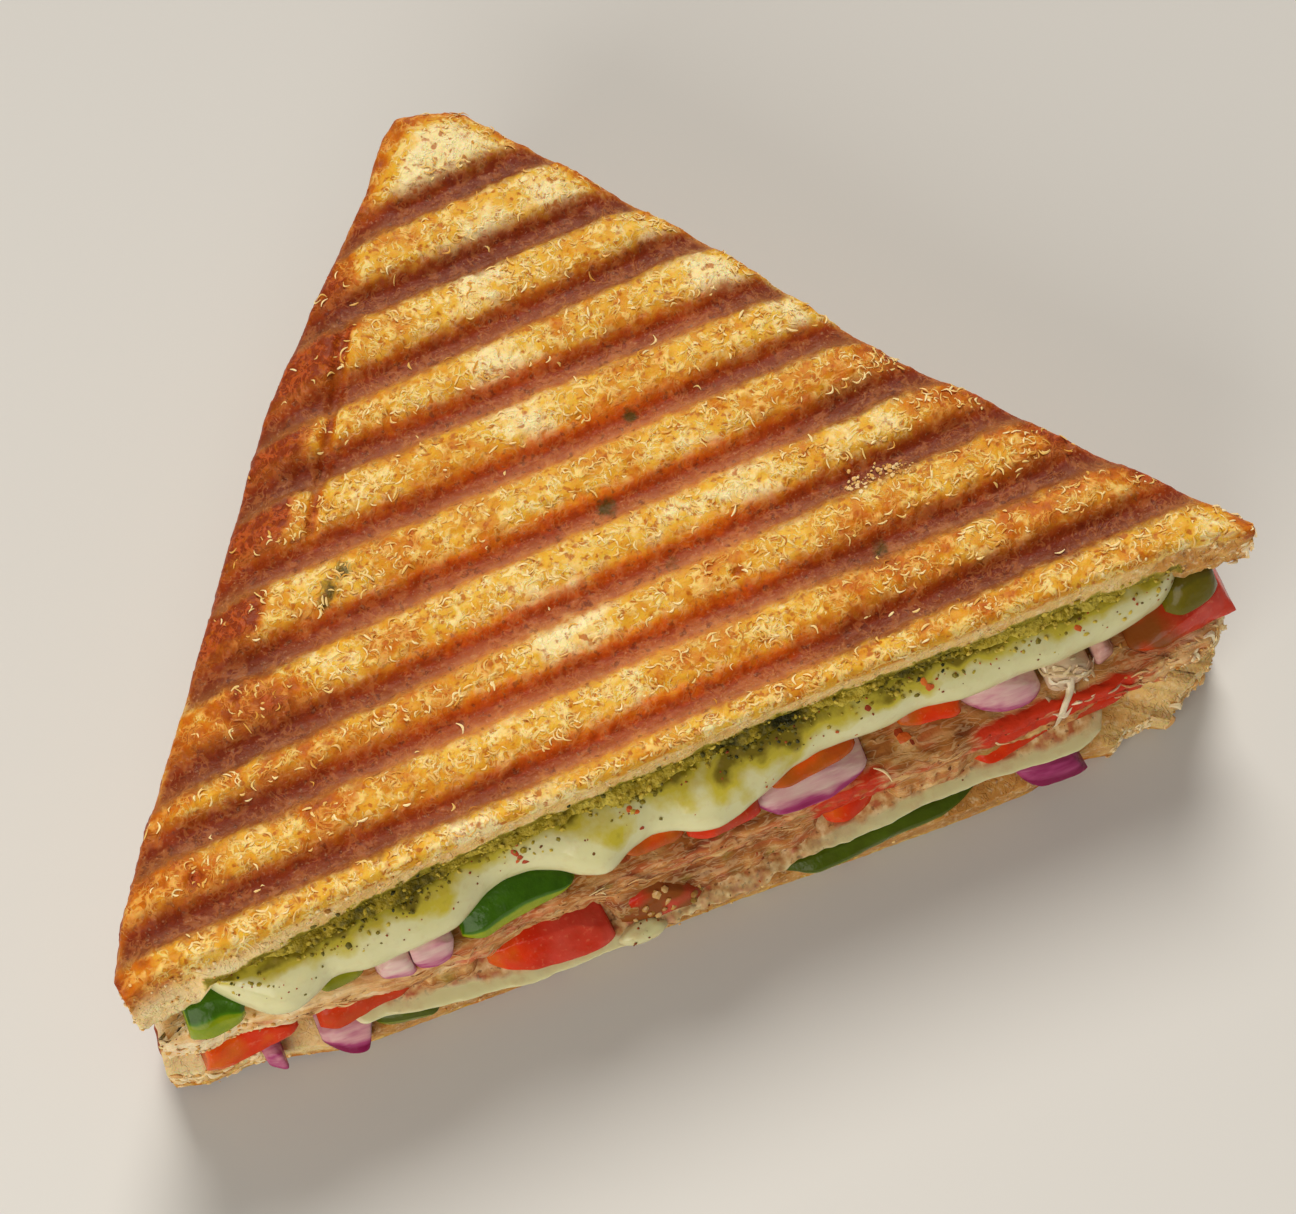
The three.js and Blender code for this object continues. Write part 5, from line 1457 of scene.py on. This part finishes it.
def spice_specks(sizes, colours):
    """Red-brown and green specks of spice on both layers of cheese and the crumb."""
    spots, facing = gathered(
        91,
        ("upper_cheese", 230, lambda x, y, z, back, up: ease(27.5, 32, z) ** 2 * (back < 0.4) * (z > 27)),
        ("lower_cheese", 90, lambda x, y, z, back, up: (back < -0.1) * (0.25 + along(CRUMBY, x))),
        ("middle_slice", 120, lambda x, y, z, back, up: (back < -0.3) * 1.0),
        ("crumb_fringe", 130, lambda x, y, z, back, up: (back < -0.3) * (x > -15)),
        ("cheese_drop", 14, lambda x, y, z, back, up: (back < 0.3) * (up > 0.1)))
    rng = np.random.default_rng(94)
    size = rng.uniform(0.08, 0.24, len(spots)) * rng.uniform(0.6, 1.0, len(spots))
    material = small_bits("ground_spice", 0.6, [
        (0.0, "#CC6420"), (0.45, "#A04012"), (0.75, "#7A3A12"), (1.0, "#74701E")])
    lump_cloud("spice_specks", spots, facing, size, 0.5, material, 95)


# Chilli flakes by the piece that carries them: place in the picture and length in mm
CHILLI_FLAKES = {
    "upper_cheese": [
        (515, 853, 1.3), (520, 858, 1.5), (525, 862, 1.1), (518, 861, 0.9), (629, 809, 1.6),
        (642, 828, 0.9), (636, 812, 0.9), (930, 687, 1.8), (924, 682, 1.2), (868, 708, 1.0),
        (1078, 628, 1.0)],
    "middle_slice": [(904, 737, 2.2), (898, 733, 1.4), (912, 742, 1.0)],
}


def chilli_flakes(sizes, colours):
    """Flakes of dried red chilli that landed on the cheese and the crumb."""
    spots, facing = stacked(
        landing([flake[:2] for flake in flakes], carrier) for carrier, flakes in CHILLI_FLAKES.items())
    size = np.array([flake[2] for flakes in CHILLI_FLAKES.values() for flake in flakes]) / LUMP_LENGTH
    material = small_bits("dried_chilli", 0.5, [(0.0, "#EC7A24"), (0.5, "#CC4C10"), (1.0, "#963410")])
    lump_cloud("chilli_flakes", spots, facing, size, 0.2, material, 97)


# The heap of crumbs on the crown of the upper slice, as x and y
CRUMB_HEAP = [(30.8, 23.2), (31.9, 23.9), (33.4, 23.3), (35.5, 23.1), (36.4, 23.5), (37.4, 22.9)]


def bread_crumbs(sizes, colours):
    """Loose crumbs on the cut edge, at both ends and in one heap on the crown."""
    def on_rim(x, y, z, back, up):
        return (y - along(RIM, x) < 1.6) * (y < 2.5) * (z > 36.5) * (up > 0.1)

    def at_upper_ends(x, y, z, back, up):
        return (up < 0.6) * (back < 0.2) * (z < 38) * ease(60, 66, np.abs(x))

    def in_heap(x, y, z, back, up):
        return (up > 0.7) * sum(np.exp(-((x - hx) ** 2 + (y - hy) ** 2) / 0.7) for hx, hy in CRUMB_HEAP)

    spots, facing = gathered(
        101,
        ("upper_slice", 160, on_rim),
        ("upper_slice", 120, at_upper_ends),
        ("middle_slice", 200, lambda x, y, z, back, up: (back < -0.2) * ease(54, 62, np.abs(x))),
        ("lower_slice", 260, lambda x, y, z, back, up: (
            (back < -0.2) * (z > 1) * (0.15 + ease(54, 60, np.abs(x))))),
        ("upper_slice", 90, in_heap))
    rng = np.random.default_rng(107)
    size = rng.uniform(0.14, 0.42, len(spots)) * rng.uniform(0.5, 1.0, len(spots))
    material = small_bits("loose_bread_crumb", 0.8, [
        (0.0, "#F8E2AE"), (0.5, "#EEC67E"), (0.85, "#DCA656"), (1.0, "#BE8438")])
    lump_cloud("bread_crumbs", spots, facing, size, 0.8, material, 108)


def shred_cloud(name, spots, facing, heading, length, thick, material, seed, hue):
    """One piece of many short curved shreds that lie along what carries them."""
    rng = np.random.default_rng(seed)
    bm, u, _ = tube(stations=6, around=5)
    base = points_of(bm)
    place_points(bm, np.column_stack([u, base[:, 0], base[:, 1]]))
    copy = repeated(bm, len(spots))
    u, side_part, up_part = points_of(bm).T
    count = len(spots)
    along_it, across_it = tangents(facing, heading)
    bend = rng.uniform(-0.45, 0.45, count) * length
    arch = rng.uniform(0.0, 0.1, count) * length
    bow = np.sin(math.pi * u)
    taper = thick[copy] * (0.45 + 0.55 * bow)
    place = along_it[copy] * (length[copy] * (u - 0.5))[:, None]
    place = place + across_it[copy] * (bend[copy] * bow + side_part * taper)[:, None]
    place = place + facing[copy] * (arch[copy] * bow + 0.6 * up_part * taper - 0.2 * thick[copy])[:, None]
    place_points(bm, below_top(spots[copy] + place, copy))
    finish_piece(bm, name, material, {"hue": hue[copy]}, smooth=False)


def crown_curls(sizes, colours):
    """Torn fibres of bread that curl up all over the toasted crowns."""
    def crowns(x, y, z, back, up):
        off_groove = ease(1.9, 3.0, np.abs(groove_offset(x, y, GROOVES)))
        border = 1 - 0.9 * (1 - ease(4.0, 8.0, gap_to(CRUST, x, y)[0])) * (x < 0)
        patches = 0.3 + 0.7 * (lumps(np.column_stack([x, y, z]), 4.0, 111) > 0)
        return (up > 0.55) * (z > 36) * (0.01 + off_groove) * border * patches

    spots, facing, rng = picked("upper_slice", 3500, 112, crowns)
    length = rng.uniform(0.5, 1.6, len(spots))
    thick = rng.uniform(0.09, 0.17, len(spots))
    heading = rng.uniform(0, 2 * math.pi, len(spots))
    browned = 0.4 * spread(spots[:, 0], spots[:, 1], BROWN_SPOTS)
    hue = np.clip(rng.normal(0.36, 0.22, len(spots)) + browned, 0, 1)
    material = small_bits("toasted_fibre", 0.4, [
        (0.0, "#FEE8AC"), (0.35, "#F4CE7C"), (0.65, "#E4A640"), (1.0, "#C07218")])
    shred_cloud("crown_curls", spots, facing, heading, length, thick, material, 113, hue)


def torn_shreds(sizes, colours):
    """Shreds of soaked crumb that the knife dragged along the middle slice."""
    spots, facing, rng = picked("middle_slice", 120, 121, lambda x, y, z, back, up: (
        (back < -0.3) * (1.0 - 0.9 * span(x, 30, 36, 52, 60))))
    length = rng.uniform(0.9, 3.2, len(spots))
    thick = rng.uniform(0.10, 0.22, len(spots))
    heading = rng.normal(0.0, 0.35, len(spots))
    hue = np.clip(rng.normal(0.45, 0.22, len(spots)), 0, 1)
    material = small_bits("torn_crumb", 0.5, [
        (0.0, "#F6DCA6"), (0.4, "#E2B272"), (0.7, "#C0804A"), (1.0, "#94502A")])
    shred_cloud("torn_shreds", spots, facing, heading, length, thick, material, 122, hue)


def onion_shreds(sizes, colours):
    """Pale shreds of soft onion beside the hanging one."""
    spots, facing = gathered(
        141,
        ("onion_upper_6_slice", 34, lambda x, y, z, back, up: (back < 0.3) * 1.0),
        ("middle_slice", 10, lambda x, y, z, back, up: (
            np.exp(-(x - 49) ** 2 / 12) * (y < -5) * (z > 19))))
    rng = np.random.default_rng(144)
    length = rng.uniform(1.0, 3.0, len(spots))
    thick = rng.uniform(0.2, 0.42, len(spots))
    heading = rng.normal(0.3, 0.4, len(spots))
    hue = rng.uniform(0, 1, len(spots))
    material = bpy.data.materials["soft_onion_shred"]
    shred_cloud("onion_shreds", spots, facing, heading, length, thick, material, 145, hue)


def torn_tufts(sizes, colours):
    """Tufts of white crumb that stand out of the torn ends of the slices."""
    spots, facing = gathered(
        161,
        ("lower_slice", 210, lambda x, y, z, back, up: (x > 54) * (y < 4) * (up < 0.7) * (z > 1)),
        ("middle_slice", 110, lambda x, y, z, back, up: (x > 64) * (y < 5) * (up < 0.7)),
        ("lower_slice", 60, lambda x, y, z, back, up: (x < -62) * (back < -0.4) * (up < 0.7) * (z > 1)),
        ("upper_slice", 60, lambda x, y, z, back, up: (x > 68) * (y < 5) * (up < 0.5)))
    rng = np.random.default_rng(166)
    length = rng.uniform(0.8, 2.2, len(spots))
    thick = rng.uniform(0.22, 0.55, len(spots))
    heading = rng.uniform(0, 2 * math.pi, len(spots))
    hue = rng.uniform(0, 1, len(spots))
    material = small_bits("torn_white_crumb", 0.7, [(0.0, "#FCECC6"), (0.5, "#F4D8A0"), (1.0, "#DCA864")])
    shred_cloud("torn_tufts", spots, facing, heading, length, thick, material, 167, hue)


def tomato_seeds(sizes, colours):
    """Seeds in their jelly, in the soft slice beside the middle of the lower layer."""
    rng = np.random.default_rng(131)
    points, normals = surface_of("tomato_lower_4_slice")
    shows = np.flatnonzero((normals[:, 1] < -0.1) & (points[:, 2] > 11.6))
    chosen = rng.choice(shows, 16, replace=False)
    size = rng.uniform(0.3, 0.6, len(chosen))
    material = small_bits("tomato_seed", 0.15, [
        (0.0, "#DFBC80"), (0.5, "#C8964A"), (0.8, "#A87434"), (1.0, "#86802E")])
    lump_cloud("tomato_seeds", points[chosen], normals[chosen], size, 0.6, material, 132)


# Floor, lights and camera


FLOOR_SIZE = 1.5
# Lights that look at the food: kind, place, power, colour and softness
LIGHTS = {
    "window": ("SUN", (0.18, 0.62, 0.76), 2.6, "#FFF8EE", {"angle": math.radians(24)}),
    "fill": ("AREA", (-0.42, -0.42, 0.36), 2.6, "#FFF8EE", {"size": 0.5}),
}


def floor():
    bm = bmesh.new()
    bmesh.ops.create_grid(bm, x_segments=1, y_segments=1, size=FLOOR_SIZE)
    mesh = bpy.data.meshes.new("floor")
    bm.to_mesh(mesh)
    bm.free()
    material, _, _ = begin("matt_pale_floor")
    mesh.materials.append(finished(material, Base_Color=colour_value("#D2D2D0"), Roughness=0.9))
    ground = bpy.data.objects.new("floor", mesh)
    bpy.context.collection.objects.link(ground)


def lights():
    world = bpy.data.worlds.new("soft_room")
    world.use_nodes = True
    background = world.node_tree.nodes["Background"]
    background.inputs["Color"].default_value = colour_value("#FFF6EA")
    background.inputs["Strength"].default_value = 0.18
    bpy.context.scene.world = world
    for name, (kind, place, power, code, softness) in LIGHTS.items():
        lamp = bpy.data.lights.new(name, kind)
        lamp.energy = power
        lamp.color = linear(code)
        for setting, value in softness.items():
            setattr(lamp, setting, value)
        light = bpy.data.objects.new(name, lamp)
        light.location = place
        light.rotation_euler = (-Vector(place)).to_track_quat("-Z", "Y").to_euler()
        bpy.context.collection.objects.link(light)


def camera():
    lens = bpy.data.cameras.new("camera")
    lens.lens = CAMERA_LENS
    lens.sensor_width = SENSOR
    lens.clip_start = 0.02
    eye = bpy.data.objects.new("camera", lens)
    turn = Matrix((CAMERA_RIGHT, CAMERA_UP, CAMERA_RIGHT.cross(CAMERA_UP))).transposed()
    place = (np.array(CAMERA_PLACE) + PLAN_TO_FRAME) * MM
    eye.matrix_world = Matrix.Translation(place.tolist()) @ turn.to_4x4()
    bpy.context.collection.objects.link(eye)
    bpy.context.scene.camera = eye
    bpy.context.scene.view_settings.view_transform = "Standard"


# Add-on


class SandwichSizes(bpy.types.PropertyGroup):
    """Sizes that a user would change."""

    groove_depth: FloatProperty(
        name="Groove depth", description="Depth of the pressed grill grooves",
        default=0.0016, min=0.0, max=0.003, unit="LENGTH")
    fine_cell: FloatProperty(
        name="Fine cell", description="Mesh spacing of the upper slice",
        default=0.00036, min=0.0003, max=0.002, unit="LENGTH")
    coarse_cell: FloatProperty(
        name="Coarse cell", description="Mesh spacing of the lower slice",
        default=0.0005, min=0.0003, max=0.002, unit="LENGTH")


def colour_property(name, description, code):
    return FloatVectorProperty(
        name=name, description=description, subtype="COLOR", size=3, min=0.0, max=1.0, default=linear(code))


class SandwichColours(bpy.types.PropertyGroup):
    """Colours that a user would change."""

    crown: colour_property("Crown", "Golden bread between the grooves", "#DE9E24")
    # Groove: burnt bread, and also the foot of the side turned to the cut, darkened there with painted
    # shade
    groove: colour_property("Groove", "Bread burnt brown in the grooves", "#9A3A0A")
    crumb: colour_property("Crumb", "White crumb where the knife went through", "#F0C87C")
    chutney: colour_property("Chutney", "Green chutney", "#AE9822")
    cheese: colour_property("Cheese", "Melted cheese", "#E9E6B6")
    pepper: colour_property("Pepper", "Skin of the pepper", "#4C7E0A")
    tomato: colour_property("Tomato", "Flesh of the tomato", "#E03A0C")
    onion: colour_property("Onion", "Flesh of the onion", "#E6CCC0")


def build(context, *makers):
    """Calls the makers of an operator's pieces with the panel's sizes and colours."""
    for maker in makers:
        maker(context.scene.sandwich_sizes, context.scene.sandwich_colours)
    return {"FINISHED"}


class SANDWICH_OT_stage(bpy.types.Operator):
    """Adds the floor, lights and camera"""

    bl_idname = "sandwich.stage"
    bl_label = "Stage"

    def execute(self, context):
        floor()
        lights()
        camera()
        return {"FINISHED"}


class SANDWICH_OT_upper_slice(bpy.types.Operator):
    """Adds the toasted upper slice with its grooves"""

    bl_idname = "sandwich.upper_slice"
    bl_label = "Upper slice"

    def execute(self, context):
        return build(context, upper_slice, crown_curls)


class SANDWICH_OT_lower_slice(bpy.types.Operator):
    """Adds the toasted lower slice"""

    bl_idname = "sandwich.lower_slice"
    bl_label = "Lower slice"

    def execute(self, context):
        return build(context, lower_slice)


class SANDWICH_OT_middle_slice(bpy.types.Operator):
    """Adds the soaked middle slice and its torn shreds"""

    bl_idname = "sandwich.middle_slice"
    bl_label = "Middle slice"

    def execute(self, context):
        return build(context, middle_slice, torn_shreds, crumb_fringe)


class SANDWICH_OT_cheese(bpy.types.Operator):
    """Adds both layers of cheese, their seams along the crust and the drop"""

    bl_idname = "sandwich.cheese"
    bl_label = "Cheese"

    def execute(self, context):
        return build(context, upper_cheese, lower_cheese, cheese_seams, cheese_drop)


class SANDWICH_OT_chutney(bpy.types.Operator):
    """Adds the chutney and its grains"""

    bl_idname = "sandwich.chutney"
    bl_label = "Chutney"

    def execute(self, context):
        return build(context, chutney_layer, chutney_grains)


class SANDWICH_OT_peppers(bpy.types.Operator):
    """Adds the strips of pepper"""

    bl_idname = "sandwich.peppers"
    bl_label = "Peppers"

    def execute(self, context):
        return build(context, peppers)


class SANDWICH_OT_onions(bpy.types.Operator):
    """Adds the slices of onion and the hanging shred"""

    bl_idname = "sandwich.onions"
    bl_label = "Onions"

    def execute(self, context):
        return build(context, onions, onion_thread, onion_shreds)


class SANDWICH_OT_tomatoes(bpy.types.Operator):
    """Adds the slices of tomato and their seeds"""

    bl_idname = "sandwich.tomatoes"
    bl_label = "Tomatoes"

    def execute(self, context):
        return build(context, tomatoes, tomato_seeds)


class SANDWICH_OT_bits(bpy.types.Operator):
    """Adds the spice, the chilli flakes and the loose crumbs"""

    bl_idname = "sandwich.bits"
    bl_label = "Spice and crumbs"

    def execute(self, context):
        return build(context, spice_specks, chilli_flakes, bread_crumbs, torn_tufts)


STEPS = [
    SANDWICH_OT_stage, SANDWICH_OT_upper_slice, SANDWICH_OT_lower_slice, SANDWICH_OT_middle_slice,
    SANDWICH_OT_cheese, SANDWICH_OT_chutney, SANDWICH_OT_peppers, SANDWICH_OT_onions,
    SANDWICH_OT_tomatoes, SANDWICH_OT_bits,
]


class SANDWICH_PT_panel(bpy.types.Panel):
    """Lists the sandwich's pieces"""

    bl_label = "Sandwich"
    bl_space_type = "VIEW_3D"
    bl_region_type = "UI"
    bl_category = "Sandwich"

    def draw(self, context):
        for group in (context.scene.sandwich_sizes, context.scene.sandwich_colours):
            for name in group.__annotations__:
                self.layout.prop(group, name)
        for step in STEPS:
            self.layout.operator(step.bl_idname)


CLASSES = [SandwichSizes, SandwichColours, *STEPS, SANDWICH_PT_panel]


def register():
    for kind in CLASSES:
        bpy.utils.register_class(kind)
    bpy.types.Scene.sandwich_sizes = PointerProperty(type=SandwichSizes)
    bpy.types.Scene.sandwich_colours = PointerProperty(type=SandwichColours)


def unregister():
    del bpy.types.Scene.sandwich_colours
    del bpy.types.Scene.sandwich_sizes
    for kind in reversed(CLASSES):
        bpy.utils.unregister_class(kind)


def main():
    register()
    bpy.ops.sandwich.stage()
    bpy.ops.sandwich.upper_slice()
    bpy.ops.sandwich.lower_slice()
    bpy.ops.sandwich.middle_slice()
    bpy.ops.sandwich.cheese()
    bpy.ops.sandwich.chutney()
    bpy.ops.sandwich.peppers()
    bpy.ops.sandwich.tomatoes()
    bpy.ops.sandwich.onions()
    bpy.ops.sandwich.bits()


if __name__ == "__main__":
    main()
